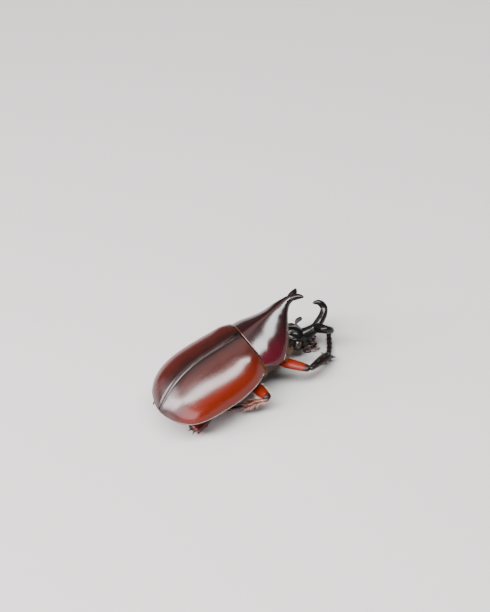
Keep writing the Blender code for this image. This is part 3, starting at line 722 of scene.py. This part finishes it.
def buildPronotum():
    look = shieldPart
    piece = joinPieces("pronotumShell", [copyNode("pronotum", "rearPart"),
                                         copyNode("thoracic_horn", "hornPart")])
    rootX = seam.x + look["hornRoot"]
    editMode(piece, "FACE")
    bpy.ops.mesh.select_all(action="DESELECT")
    bm = bmesh.from_edit_mesh(piece.data)
    for face in bm.faces:
        atRoot = abs(face.calc_center_median().x - rootX) < look["rootSlack"]
        face.select = abs(face.normal.x) > 0.9 and atRoot
    bmesh.update_edit_mesh(piece.data)
    bpy.ops.mesh.delete(type="FACE")
    bpy.ops.mesh.select_mode(type="EDGE")
    bpy.ops.mesh.select_all(action="DESELECT")
    bpy.ops.mesh.select_non_manifold(extend=False)
    bpy.ops.mesh.bridge_edge_loops()
    objectMode()
    roundEdges(piece, *look["edges"])
    middle = (seam.x + look["centre"], seam.y)
    for word, side in bothSides:
        makeRim("pronotumRim" + word.title(), piece, middle, side, look, "pronotum_cuticle")
    prongs = [makeLimb("prong", [bodyPlace(*place, side) for place in look["prong"]],
                       roundStations(look["prongRadii"], look["prongFlat"])) for word, side in bothSides]
    finishPiece(makeOne(joinPieces("hornFork", prongs), *look["forkSkin"]), "black", "black_cuticle")
    path = smoothPath(hindEdge(), look["hindBeadPoints"])[0]
    finishPiece(makeBead("pronotumHindBead", path, look["hindBeadRadius"]), "rim", "pronotum_cuticle")
    finishPiece(piece, "shield", "pronotum_cuticle", "pronotum", "thoracic_horn")


buildPronotum()
print("pronotum built")


# underside

bellyPart = {
    "skin": (0.22 * mm, 5), "rings": 6, "ringWidth": 0.20 * mm, "ringDepth": 0.30 * mm,
    "ringSlopes": (0.45, 1.6),    # gentle ahead of each ring's edge, steep behind it
    "ringBow": 0.8 * mm, "bowReach": 11 * mm, "overlap": 0.7 * mm,
    # furrows of the thorax: how far from the middle, depth; steep skin stays out of them
    "furrows": ((0, 0.35 * mm), (6.2, 0.35 * mm * 0.7), (-6.2, 0.35 * mm * 0.7)), "furrowWidth": 0.30 * mm,
    # hip pieces: forward and outward shift and drop of their inner end from the hip, radii, in mm
    "coxaInner": {"fore": (0.6, -2.6, -1.3), "mid": (-0.4, -3.2, -1.0), "hind": (-0.6, -3.4, -0.9)},
    "coxaRadii": {"fore": (0.9, 1.35, 1.55, 1.4, 1.15), "mid": (0.8, 1.3, 1.5, 1.4, 1.2),
                  "hind": (0.9, 1.5, 1.8, 1.7, 1.4)},
    "coxaFlat": 0.8, "coxaWaves": (0.05 * mm, 1.0 * mm),
}


def buildUnderside():
    look = bellyPart
    made = {}
    for nodeName, pieceName in (("prosternum", "breastPlate"), ("thorax", "thoraxPlate"),
                                ("abdomen", "abdomenPlates"), ("pygidium", "tailPlate")):
        piece = makeOne(copyNode(nodeName, pieceName), *look["skin"])
        points = getPoints(piece)
        normals = getNormals(piece)
        offset = leftOfMiddle(points)
        low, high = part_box(nodeName)
        move = np.zeros(len(points))
        if nodeName in ("thorax", "abdomen"):
            # runs on under the plate ahead of it
            points[points[:, 0] > high.x - look["overlap"], 0] += look["overlap"]
        if nodeName == "abdomen":
            # overlapping rings, each sunk at its front edge
            ahead, behind = look["ringSlopes"]
            bow = (offset / look["bowReach"]) ** 2 * look["ringBow"]
            for i in range(1, look["rings"]):
                at = high.x + (low.x - high.x) * i / look["rings"]
                step = (points[:, 0] - at + bow) / look["ringWidth"]
                move -= look["ringDepth"] * np.exp(-np.where(step > 0, step * ahead, step * behind) ** 2)
        if nodeName == "thorax":
            below = np.clip(-normals[:, 2] * 2, 0, 1)
            for line, depth in look["furrows"]:
                move -= depth * np.exp(-((offset - line * mm) / look["furrowWidth"]) ** 2) * below
        setPoints(piece, points + normals * move[:, None])
        made[nodeName] = finishPiece(piece, "underside", "underside", nodeName)
    return made


undersides = buildUnderside()
print("underside built")


# head, horn, eyes and mouth

headPart = {
    "neck": Vector((12.617, -0.441, 0)) * mm, "turn": -20,
    # ahead, half width, half height, height of the middle, in mm on the turned head
    "rings": ((0.0, 3.1, 2.6, 6.6), (1.2, 3.45, 3.05, 6.1), (2.8, 3.3, 2.9, 5.2), (4.2, 2.8, 2.3, 4.2),
              (5.2, 2.2, 1.5, 3.3), (6.1, 1.7, 0.8, 2.6)),
    # rounded ends of the core: share of the length, shares of the ring's width and height
    "coreStart": (-0.02, 0.8, 0.8), "coreEnd": (1.02, 0.6, 0.5),
    "skullSkin": (0.11 * mm, 7), "skullWaves": (0.012 * mm, 1.1 * mm),
    # hollows beside the middle ridge, in mm: ahead, outward, reach ahead and outward, depth
    "hollow": (2.6, 1.6, 1.3, 0.62, 0.42),
    # lobes melted into the skull: points, radii, flatness, one on each side or single
    "lobes": {
        "nape": (((-2.6, 0, 6.6), (-1.0, 0, 6.6), (0.8, 0, 6.5)), (2.2, 2.45, 2.6, 2.7), 0.92, False),
        "mouthPlate": (((3.8, 0, 4.4), (5.4, 0, 3.3), (6.8, 0, 2.5)), (1.7, 2.15, 2.2, 2.0, 1.5),
                       0.24, False),
        "platePoint": (((6.0, 1.1, 2.9), (6.9, 1.35, 2.6), (7.5, 1.3, 2.8)), (0.6, 0.5, 0.28), 0.7, True),
        "eyeBar": (((4.6, 2.0, 4.5), (4.1, 3.2, 5.0), (3.3, 4.15, 5.4)), (0.6, 0.62, 0.42), 0.5, True),
        "brow": (((1.2, 2.6, 7.3), (2.7, 2.95, 7.0), (4.2, 2.3, 6.0)), (0.5, 0.6, 0.5), 0.8, True),
        "cheek": (((1.2, 2.6, 4.4), (3.0, 2.75, 3.6), (4.8, 2.0, 2.7)), (0.9, 1.05, 0.8), 1.0, True),
        "chin": (((1.4, 0, 3.9), (3.4, 0, 2.9), (5.4, 0, 1.9)), (1.5, 1.7, 1.2), 0.6, False),
    },
    "eyePlace": (2.9, 3.25, 5.3), "eyeRadius": 1.12, "eyeSquash": (0.96, 0.90, 1.04),
    "facetInset": 0.008 * mm, "facetRise": 0.004 * mm,
    "horn": ((2.2, 0.0, 4.6), (5.0, 0.0, 4.9), (7.2, 0.0, 5.6), (9.2, 0.0, 6.4)),
    "hornRadii": (2.5, 2.35, 2.0, 1.8, 1.62, 1.5, 1.45),
    "tine": ((8.0, 0.0, 6.0), (8.6, 0.2, 6.2), (10.2, 1.5, 6.7), (11.7, 3.2, 7.3), (12.3, 4.6, 8.3),
             (11.4, 5.2, 9.8), (9.7, 5.2, 10.3)),
    "tineRadii": (1.2, 1.3, 1.3, 1.26, 1.2, 1.14, 1.08, 1.02, 0.92, 0.76, 0.46),
    "hornSkin": (0.11 * mm, 9), "hornWaves": (0.022 * mm, 1.9 * mm),
}


def headPlace(ahead, outward, height, side=1):
    turn = Matrix.Rotation(math.radians(headPart["turn"]), 4, "Z")
    return turn @ (Vector((ahead, side * outward, height)) * mm) + headPart["neck"]


def headLimb(name, points, radii, side=1, sides=12, flat=1.0):
    return makeLimb(name, [headPlace(*p, side) for p in points], roundStations(radii, flat), sides)


def roughen(piece, height, scale):
    # slow waves over the surface, from a few crossing sine waves
    points = getPoints(piece)
    waves = np.zeros(len(points))
    for i in range(6):
        way = np.array([random.gauss(0, 1) for axis in range(3)])
        waves += np.sin(points @ (way / np.linalg.norm(way)) * (2 * math.pi / scale) * (0.7 + 0.2 * i) + i)
    setPoints(piece, points + getNormals(piece) * (waves * height / 6)[:, None])


def buildSkull():
    look = headPart
    rings = look["rings"]
    stations = [(ahead / rings[-1][0], wide * mm, high * mm) for ahead, wide, high, middle in rings]
    for at, key in ((0, "coreStart"), (-1, "coreEnd")):
        share, wide, high = look[key]
        station = (share, rings[at][1] * wide * mm, rings[at][2] * high * mm)
        stations.insert(0 if at == 0 else len(stations), station)
    centres = [headPlace(ahead, 0, middle) for ahead, wide, high, middle in rings]
    parts = [makeLimb("skullCore", centres, stations, 20, 2)]
    for name, (points, radii, flat, paired) in look["lobes"].items():
        for side in (1, -1) if paired else (1,):
            parts.append(headLimb(name, points, radii, side, 14, flat))
    skull = makeOne(joinPieces("skull", parts), *look["skullSkin"])
    points = getPoints(skull)
    turn = math.radians(look["turn"])
    dx = points[:, 0] - look["neck"].x
    dy = points[:, 1] - look["neck"].y
    ahead = dx * math.cos(turn) + dy * math.sin(turn)
    outward = np.abs(dy * math.cos(turn) - dx * math.sin(turn))
    place, away, reachAhead, reachOut, depth = [v * mm for v in look["hollow"]]
    sunk = depth * np.exp(-((ahead - place) / reachAhead) ** 2 - ((outward - away) / reachOut) ** 2)
    points[:, 2] -= sunk * (getNormals(skull)[:, 2] > 0)
    setPoints(skull, points)
    roughen(skull, *look["skullWaves"])
    return finishPiece(skull, "black", "black_cuticle", "head")


def buildHeadHorn():
    look = headPart
    parts = [headLimb("trunk", look["horn"], look["hornRadii"], sides=16)]
    for word, side in bothSides:
        parts.append(headLimb("tine", look["tine"], look["tineRadii"], side))
    piece = makeOne(joinPieces("headHorn", parts), *look["hornSkin"])
    roughen(piece, *look["hornWaves"])
    finishPiece(piece, "black", "black_cuticle", "cephalic_horn", "cephalic_tine_left", "cephalic_tine_right")


def buildEyes():
    # a slightly flattened globe, every facet raised on its own
    look = headPart
    for word, side in bothSides:
        bpy.ops.object.select_all(action="DESELECT")
        bpy.ops.mesh.primitive_ico_sphere_add(subdivisions=5, radius=look["eyeRadius"] * mm,
                                              location=headPlace(*look["eyePlace"], side))
        eye = bpy.context.active_object
        eye.name = "compoundEye" + word.title()
        editMode(eye, "FACE")
        bpy.ops.transform.resize(value=look["eyeSquash"])
        bpy.ops.mesh.inset(thickness=look["facetInset"], depth=look["facetRise"], use_individual=True)
        objectMode()
        bpy.ops.object.transform_apply(location=True, rotation=False, scale=False)
        finishPiece(eye, "eye", "eye", "eye_" + word)


skull = buildSkull()
buildHeadHorn()
buildEyes()
print("head built")


# feelers, palps and jaws

feelerPart = {
    "stalk": ((3.7, 2.1, 3.4), (4.3, 3.1, 3.4), (4.6, 3.8, 3.5)),
    "stalkRadii": (0.26, 0.34, 0.44, 0.46, 0.34),
    "club": ((3.8, 5.2, 4.5), (4.6, 6.0, 4.8), (5.9, 6.5, 4.8)),
    "clubRadii": (0.30, 0.52, 0.62, 0.64, 0.58, 0.40),
    "leaves": (-0.19, 0.0, 0.19), "leafFlat": 0.36,
    "fan": (0.3, 1.0, 1.15),   # the leaves part towards their ends
    "jaw": ((5.0, 1.1, 1.9), (6.4, 1.5, 1.4), (7.3, 1.3, 1.3), (7.9, 0.8, 1.5)),
    "jawRadii": (0.8, 0.78, 0.6, 0.42, 0.22), "jawFlat": 0.75,
    # chains of beads: points, radius, joints
    "chain": (((4.6, 3.8, 3.5), (4.5, 4.6, 3.8), (3.9, 5.1, 4.4)), 0.27, 6),
    "longPalp": (((5.0, 1.5, 1.5), (6.2, 2.4, 1.1), (7.4, 2.6, 0.9), (8.3, 2.2, 0.8)), 0.27, 4),
    "shortPalp": (((5.4, 0.5, 1.3), (6.4, 0.9, 0.8), (7.1, 0.8, 0.6)), 0.2, 3),
    "beadShape": ((0.04, 0.55), (0.22, 0.82), (0.65, 1.0), (0.90, 0.88)), "beadEnd": (1.0, 0.5),
}


def headChain(name, side):
    # bead-like joints, each narrow where it starts and widest before its end
    points, radius, joints = feelerPart[name]
    shape = [((i + share) / joints, wide) for i in range(joints) for share, wide in feelerPart["beadShape"]]
    stations = taperStations(radius * mm, shape + [feelerPart["beadEnd"]])
    return makeLimb(name, [headPlace(*p, side) for p in points], stations, 10)


def buildFeelers():
    look = feelerPart
    for word, side in bothSides:
        title = word.title()
        scape = headLimb("scape", look["stalk"], look["stalkRadii"], side)
        stalk = joinPieces("feelerStalk" + title, [scape, headChain("chain", side)])
        finishPiece(stalk, "black", "black_cuticle", "antenna_stalk_" + word)
        leaves = []
        for lift in look["leaves"]:
            points = [(a, o, h + lift * share) for (a, o, h), share in zip(look["club"], look["fan"])]
            leaves.append(headLimb("leaf", points, look["clubRadii"], side, flat=look["leafFlat"]))
        club = joinPieces("feelerClub" + title, leaves)
        finishPiece(club, "underside", "red_cuticle", "antenna_club_" + word)
        jaw = headLimb("jaw" + title, look["jaw"], look["jawRadii"], side, flat=look["jawFlat"])
        finishPiece(jaw, "black", "black_cuticle", "mandible_" + word)
        palps = joinPieces("palps" + title, [headChain("longPalp", side), headChain("shortPalp", side)])
        finishPiece(palps, "shin", "black_cuticle")


buildFeelers()
print("feelers, palps and jaws built")


# legs

legPart = {
    # radii from the near end to the far one, in mm
    "thigh": {"fore": (1.0, 1.35, 1.55, 1.48, 1.3, 1.15), "mid": (1.1, 1.45, 1.7, 1.65, 1.4, 1.2),
              "hind": (1.3, 1.65, 1.9, 1.75, 1.45, 1.25)},
    "shin": {"fore": (0.95, 1.1, 1.28, 1.45, 1.58, 1.62), "mid": (0.85, 0.92, 1.02, 1.15, 1.3, 1.42),
             "hind": (1.0, 1.15, 1.32, 1.48, 1.6, 1.64)},
    "flat": 0.72, "shinSkin": (0.12 * mm, 3), "shinWaves": (0.015 * mm, 1.2 * mm),
    # teeth stand at these shares of the shin and lean forward
    "teeth": {"fore": (0.45, 0.70, 0.93), "mid": (0.55, 0.93), "hind": (0.55, 0.93)},
    "toothLength": {"fore": 1.3, "mid": 1.0, "hind": 0.7}, "toothRadius": 0.55, "toothEdge": 0.75,
    "toothRoot": 0.3, "toothLean": 0.5,
    # keel under the teeth: share of the shin, which of its radii, how far out on it
    "keel": ((0.15, 0, 0.6), (0.55, 3, 0.8), (0.93, -1, 0.85)), "keelRadius": 0.34,
    # spurs at the shin's end: length, how much ahead and outward
    "spurs": {"fore": ((2.8, 0.15, -1.0),), "mid": ((1.9, 0.9, -0.5), (1.6, 0.9, 0.4)),
              "hind": ((1.9, 0.9, -0.5), (1.6, 0.9, 0.4))},
    "spurRadius": 0.36, "spurBack": 0.5, "spurOut": 0.4,
    # shallow cup of short spines round the end: how many, how far out and back, reach ahead and out, radius
    "cup": (7, 0.72, 0.3, 0.5, 0.1, 0.2),
    # feet: share of a joint, half width, half height
    "footRadius": {"fore": 0.76, "mid": 0.62, "hind": 0.64}, "footJoints": 5, "lastJoint": 0.9,
    "jointShape": ((0.0, 0.55, 0.5), (0.10, 0.76, 0.72), (0.45, 0.92, 0.86), (0.82, 1.1, 0.98),
                   (1.0, 0.86, 0.7)),
    "soleHeight": 0.02 * mm,
    # claws: root, arch and tip above the floor; shares ahead and across at the middle and at the tip
    "clawLength": 1.5 * mm, "clawRadius": 0.27 * mm, "clawHeights": (0.42 * mm, 0.25 * mm, 0.12 * mm),
    "clawBack": 0.3, "clawMiddle": (0.6, 0.4), "clawTip": (1.1, 0.55),
    "clawShape": ((0.0, 1.0), (0.3, 0.95), (0.65, 0.65), (1.0, 0.2)),
}

# forward of the seam, outward and height of hip, knee, tip of the shin and two points of the foot, in mm
legs = {
    "fore_right": (-1, (4.4, 4.4, 6.4), (10.3, 13.7, 6.0), (18.1, 8.9, 1.8), (20.2, 5.6, 1.0),
                   (22.8, 0.8, 0.25)),
    "fore_left": (1, (4.4, 4.4, 6.0), (7.4, 14.0, 5.6), (13.9, 11.4, 1.9), (14.8, 9.0, 1.0),
                  (15.3, 4.4, 0.25)),
    "mid_right": (-1, (-4.0, 5.0, 4.8), (-3.3, 14.6, 5.2), (-8.3, 9.4, 1.9), (-10.2, 7.8, 0.9),
                  (-12.6, 5.6, 0.25)),
    "mid_left": (1, (-4.0, 5.0, 4.8), (-4.0, 14.9, 5.4), (-10.4, 16.2, 1.9), (-12.6, 16.6, 0.9),
                 (-15.6, 17.0, 0.25)),
    "hind_right": (-1, (-8.2, 4.6, 4.0), (-15.8, 6.7, 2.9), (-23.2, 8.1, 2.4), (-23.0, 5.4, 1.2),
                   (-21.4, 2.2, 0.25)),
    "hind_left": (1, (-8.2, 4.6, 4.4), (-13.4, 13.4, 5.2), (-21.4, 13.6, 2.2), (-23.6, 12.4, 1.0),
                  (-25.6, 9.8, 0.25)),
}


def legPoints(name):
    side, *places = legs[name]
    return [bodyPlace(*place, side) for place in places]


def buildShin(name, kind, hip, knee, tip):
    look = legPart
    along = (tip - knee).normalized()
    out = ((knee - hip) - along * (knee - hip).dot(along)).normalized()   # the side the teeth stand on
    radii = [r * mm for r in look["shin"][kind]]
    parts = [makeLimb("shin", straightPath(knee, tip), roundStations(look["shin"][kind], look["flat"]), 14)]
    edge = radii[-1] * look["toothEdge"]
    for place in look["teeth"][kind]:
        root = knee.lerp(tip, place)
        length = look["toothLength"][kind] * mm * random.uniform(0.92, 1.08)
        end = root + out * (edge + length) + along * length * look["toothLean"]
        parts.append(spike("tooth", root + out * edge * look["toothRoot"], end, look["toothRadius"] * mm))
    keel = [knee.lerp(tip, share) + out * radii[at] * part for share, at, part in look["keel"]]
    parts.append(makeLimb("keel", keel, roundStations([look["keelRadius"]] * 4), 8))
    for length, ahead, outward in look["spurs"][kind]:
        reach = along * ahead + out * outward
        root = tip - along * look["spurBack"] * mm + out * outward * look["spurOut"] * mm
        parts.append(spike("spur", root, tip + reach * length * mm, look["spurRadius"] * mm))
    if kind != "fore":
        level = along.cross(out)
        count, outPart, back, ahead, spread, radius = look["cup"]
        for i in range(count):
            turn = 2 * math.pi * i / count
            way = out * math.cos(turn) + level * math.sin(turn) * look["flat"]
            root = tip + way * radii[-1] * outPart - along * back * mm
            parts.append(spike("cupSpine", root, root + (along * ahead + way * spread) * mm, radius * mm))
    piece = makeOne(joinPieces("shin_" + name, parts), *look["shinSkin"])
    roughen(piece, *look["shinWaves"])
    finishPiece(piece, "black" if kind == "fore" else "shin", "black_cuticle", "tibia_" + name)


def buildFoot(name, kind, points):
    # five joints that flare forward, then two hooked claws
    look = legPart
    joints = look["footJoints"]
    path = smoothPath(points, 12 * joints + 1)[0]
    parts = []
    for i in range(joints):
        low = 12 * i
        high = min(12 * (i + 1) + 2, 12 * joints)
        r = look["footRadius"][kind] * mm * (1.0 if i < joints - 1 else look["lastJoint"])
        stations = [(share, r * wide, r * tall) for share, wide, tall in look["jointShape"]]
        line = [path[low], path[(low + high) // 2], path[high]]
        parts.append(makeLimb("joint", line, stations, samples=12))
    piece = joinPieces("foot_" + name, parts)
    sole = getPoints(piece)
    sole[:, 2] = np.maximum(sole[:, 2], look["soleHeight"])
    setPoints(piece, sole)
    finishPiece(piece, "black", "black_cuticle", "tarsus_" + name)
    ahead = (path[-1] - path[-6]).normalized()
    across = Vector((0, 0, 1)).cross(ahead).normalized()
    size = look["clawLength"]
    rootHeight, arch, tipHeight = look["clawHeights"]
    claws = []
    for word, side in bothSides:
        root = path[-1] - ahead * look["clawBack"] * mm
        root.z = max(root.z, rootHeight)
        middle, end = [root + (ahead * on + across * side * apart) * size
                       for on, apart in (look["clawMiddle"], look["clawTip"])]
        middle.z += arch
        end.z = tipHeight
        stations = taperStations(look["clawRadius"], look["clawShape"])
        claws.append(makeLimb("claw", [root, middle, end], stations, 8, 1, 16))
    finishPiece(joinPieces("claws_" + name, claws), "black", "black_cuticle")


def buildCoxa(name, kind, side, hip):
    look = bellyPart
    forward, inward, lower = look["coxaInner"][kind]
    inner = hip + Vector((forward, side * inward, lower)) * mm
    stations = roundStations(look["coxaRadii"][kind], look["coxaFlat"])
    coxa = makeLimb("coxa_" + name, straightPath(inner, hip), stations, 14)
    roughen(coxa, *look["coxaWaves"])
    finishPiece(coxa, "underside", "underside")


def buildLeg(name):
    kind = name.split("_")[0]
    hip, knee, tip, footA, footB = legPoints(name)
    stations = roundStations(legPart["thigh"][kind], legPart["flat"])
    thigh = makeLimb("thigh_" + name, straightPath(hip, knee), stations, 16, 2)
    finishPiece(thigh, "red", "red_cuticle", "femur_" + name)
    buildShin(name, kind, hip, knee, tip)
    buildFoot(name, kind, [tip, footA, footB])
    buildCoxa(name, kind, legs[name][0], hip)


for name in legs:
    buildLeg(name)
print("legs built")


# hair: every bristle is a thin solid cone

hairLook = {
    "sides": 3, "rings": ((0.0, 1.0), (0.35, 0.85), (0.72, 0.5), (1.0, 0.0)),   # share of length, thickness
    "sunk": 0.10 * mm, "droop": 0.18,   # droop is the share of its length that a bristle's tip hangs
    "patch": 0.0015,                    # half the width of a bristle's place on the unwrap
    "box": (-27 * mm, 20 * mm), "axisHeight": 9 * mm,
    # how much bristles differ; stand is the share of the skin's own direction
    "thickness": (0.8, 1.2), "turn": 14, "stand": 0.55, "drift": 0.12,
    "limbLengths": (0.7, 1.25), "skinLengths": (0.6, 1.3), "fringeLengths": (0.6, 1.2),
    "limbScatter": 0.12, "skinScatter": 0.16, "fringeScatter": 0.25,
}


def scatter(spread):
    return Vector([random.gauss(0, spread) for axis in range(3)])


def bodySpot(point):
    # place on the body's skin, unwrapped from a cylinder about its long axis
    low, high = hairLook["box"]
    bearing = math.atan2(point.z - hairLook["axisHeight"], point.y - seam.y)
    return (point.x - low) / (high - low), bearing / (2 * math.pi) + 0.5


def growHair(name, bristles, radius, tone, slot):
    # bristles are (root, direction, length, place on the unwrap)
    look = hairLook
    verts, faces, spots = [], [], []
    sides = look["sides"]
    for root, lean, length, spot in bristles:
        lean = lean.normalized()
        across = lean.orthogonal().normalized()
        other = lean.cross(across)
        thick = radius * random.uniform(*look["thickness"])
        start = len(verts)
        for share, wide in look["rings"]:
            middle = root + lean * (length * share - look["sunk"])
            middle.z -= look["droop"] * length * share ** 2
            for k in range(sides if wide else 1):
                turn = 2 * math.pi * k / sides
                verts.append(middle + (across * math.cos(turn) + other * math.sin(turn)) * thick * wide)
                reach = look["patch"] * (1 - 0.8 * share)
                spots.append((spot[0] + reach * math.cos(turn), spot[1] + reach * math.sin(turn)))
        faces.append([start + k for k in reversed(range(sides))])
        last = start + (len(look["rings"]) - 2) * sides
        for a in range(start, last, sides):
            b = a + sides
            for k in range(sides):
                faces.append([a + k, a + (k + 1) % sides, b + (k + 1) % sides, b + k])
        for k in range(sides):
            faces.append([last + k, last + (k + 1) % sides, last + sides])
    mesh = bpy.data.meshes.new(name)
    mesh.from_pydata(verts, [], faces)
    unwrap = mesh.uv_layers.new(name="OFBake")
    corners = np.zeros(len(mesh.loops), int)
    mesh.loops.foreach_get("vertex_index", corners)
    unwrap.data.foreach_set("uv", np.array(spots, dtype=np.float32)[corners].ravel())
    finishPiece(addObject(name, mesh), tone, slot)


def limbBristles(points, radii, flat, rows, length, lean, span, part):
    # rows are (bearing round the limb, how many), level at 0; span is the haired stretch of the limb,
    # part the limb's start and share on the unwrap
    frames = limbFrames(smoothPath(points, 40)[0])
    tip = limbLook["tipShare"]
    radii = [r * mm for r in radii]
    bristles = []
    for bearing, count in rows:
        for i in range(count):
            share = span[0] + (span[1] - span[0]) * (i + random.random()) / count
            place, across, upward, ahead = frames[int(share * 39)]
            turn = math.radians(bearing + random.uniform(-hairLook["turn"], hairLook["turn"]))
            r = np.interp(share, np.linspace(tip, 1 - tip, len(radii)), radii)
            root = place + across * math.cos(turn) * r + upward * math.sin(turn) * r * flat
            away = across * math.cos(turn) * flat + upward * math.sin(turn)
            spot = (part[0] + share * part[1], (turn / (2 * math.pi)) % 1)
            way = away.normalized() * (1 - lean) + ahead * lean + scatter(hairLook["limbScatter"])
            bristles.append((root, way, length * mm * random.uniform(*hairLook["limbLengths"]), spot))
    return bristles


def skinBristles(piece, wanted, count, length, lean):
    # bristles on a skin's own points, standing between its normal and the lean
    points, normals = getPoints(piece), getNormals(piece)
    choices = [int(i) for i in np.flatnonzero(wanted(points, normals))]
    bristles = []
    for i in random.sample(choices, min(count, len(choices))):
        root = Vector(points[i])
        way = Vector(normals[i]) * hairLook["stand"] + lean + scatter(hairLook["skinScatter"])
        bristles.append((root, way, length * mm * random.uniform(*hairLook["skinLengths"]), bodySpot(root)))
    return bristles


def fringe(points, count, length, lean):
    # a dense row along a line of points
    path = smoothPath(points, 60)[0]
    bristles = []
    for i in range(count):
        root = path[int(60 * i / count)] + scatter(hairLook["drift"]) * mm
        way = lean + scatter(hairLook["fringeScatter"])
        bristles.append((root, way, length * mm * random.uniform(*hairLook["fringeLengths"]), bodySpot(root)))
    return bristles


hairPart = {
    # fringes under the pronotum's front edge and at its hind corner, in mm from the seam:
    # line, count, length, lean
    "fringes": (
        (((5.9, 8.6, 8.6), (7.7, 7.0, 9.6), (9.4, 5.4, 11.2), (10.9, 3.6, 12.9), (11.8, 1.6, 14.0)),
         460, 1.0, (0.5, -0.35, -1.0)),
        (((6.2, 8.2, 7.4), (8.2, 6.6, 7.2), (10.2, 5.0, 7.4)), 230, 0.8, (0.7, 0.1, -0.4)),
        (((0.1, 8.3, 12.2), (0.15, 9.0, 11.0), (0.2, 8.9, 9.6), (0.3, 8.2, 7.6)),
         110, 0.8, (-0.15, 0.8, -0.1)),
    ),
    "neckRadius": 0.034 * mm,
    # hair of the underside: node, how steeply its skin faces back or down, highest place, count, length, lean
    "breast": (("prosternum", -2, -0.25, 7 * mm, 600, 0.9, (-0.8, 0, -0.1)),
               ("thorax", -2, -0.15, 1, 1300, 1.1, (-0.8, 0, -0.1))),
    "belly": (("abdomen", -2, -0.2, 1, 700, 0.7, (-0.8, 0, -0.1)),
              ("pygidium", -0.1, -0.1, 1, 260, 0.8, (-0.5, 0, -0.5))),
    "breastRadius": 0.038 * mm, "bellyRadius": 0.034 * mm,
    # brush round the mouth, on the turned head, and thin hair on the cheeks below a height
    "mouth": ((6.4, 1.6, 2.1), (7.0, 0.6, 1.9), (7.0, -0.6, 1.9), (6.4, -1.6, 2.1)), "mouthCount": 150,
    "cheekTop": (3.0, 0, 4.6), "cheekCount": 420, "mouthRadius": 0.036 * mm,
    "hairTone": {"fore": "dark", "mid": "pale", "hind": "dark"},
    "hairRadius": {"fore": 0.034 * mm, "mid": 0.040 * mm, "hind": 0.032 * mm},
    "thighRows": ((0, 14), (180, 14), (270, 12), (90, 3)),
    "shinRows": {"fore": ((0, 12), (60, 6), (120, 6), (180, 12), (240, 10), (300, 10)),
                 "mid": ((0, 20), (60, 12), (120, 12), (180, 20), (240, 14), (300, 14)),
                 "hind": ((0, 9), (60, 4), (120, 4), (180, 9), (240, 8), (300, 8))},
    "shinLength": {"fore": 0.95, "mid": 1.4, "hind": 0.9},
    "footRows": ((0, 12), (180, 12), (250, 10), (290, 10)),
    "clearance": 0.35 * mm,   # lowest a bristle's tip may point, above the floor
}


def growLegHair(name):
    look, part = hairPart, legPart
    kind = name.split("_")[0]
    hip, knee, tip, footA, footB = legPoints(name)
    bristles = limbBristles(straightPath(hip, knee), part["thigh"][kind], part["flat"], look["thighRows"],
                            1.0, 0.45, (0.25, 0.95), (0.0, 0.4))
    bristles += limbBristles(straightPath(knee, tip), part["shin"][kind], part["flat"],
                             look["shinRows"][kind],
                             look["shinLength"][kind], 0.5, (0.06, 0.97), (0.4, 0.35))
    bristles += limbBristles([tip, footA, footB], [part["footRadius"][kind]] * 3, 0.9, look["footRows"],
                             0.6, 0.6, (0.08, 0.97), (0.75, 0.25))
    bristles = [b for b in bristles if b[0].z + b[1].normalized().z * b[2] > look["clearance"]]
    growHair("legHair_" + name, bristles, look["hairRadius"][kind], look["hairTone"][kind], "red_cuticle")


def growBodyHair():
    look = hairPart
    for word, side in bothSides:
        bristles = []
        for line, count, length, (ahead, outward, upward) in look["fringes"]:
            places = [bodyPlace(*place, side) for place in line]
            bristles += fringe(places, count, length, Vector((ahead, side * outward, upward)))
        growHair("neckHair" + word.title(), bristles, look["neckRadius"], "golden", "underside")
    for part, tone in (("breast", "golden"), ("belly", "russet")):
        bristles = []
        for node, back, down, top, count, length, lean in look[part]:
            def wanted(points, normals):
                return ((normals[:, 0] < back) | (normals[:, 2] < down)) & (points[:, 2] < top)

            bristles += skinBristles(undersides[node], wanted, count, length, Vector(lean))
        growHair(part + "Hair", bristles, look[part + "Radius"], tone, "underside")


def growHeadHair():
    look = hairPart
    ahead = (headPlace(1, 0, 0) - headPlace(0, 0, 0)).normalized()
    top = headPlace(*look["cheekTop"]).z

    def wanted(points, normals):
        return (normals[:, 2] < -0.05) & (points[:, 2] < top)

    mouth = [headPlace(*place) for place in look["mouth"]]
    bristles = fringe(mouth, look["mouthCount"], 0.9, ahead * 0.7 + Vector((0, 0, -0.6)))
    bristles += skinBristles(skull, wanted, look["cheekCount"], 0.8, ahead * 0.3)
    growHair("mouthHair", bristles, look["mouthRadius"], "golden", "underside")


for name in legs:
    growLegHair(name)
growBodyHair()
growHeadHair()
print("hair grown")
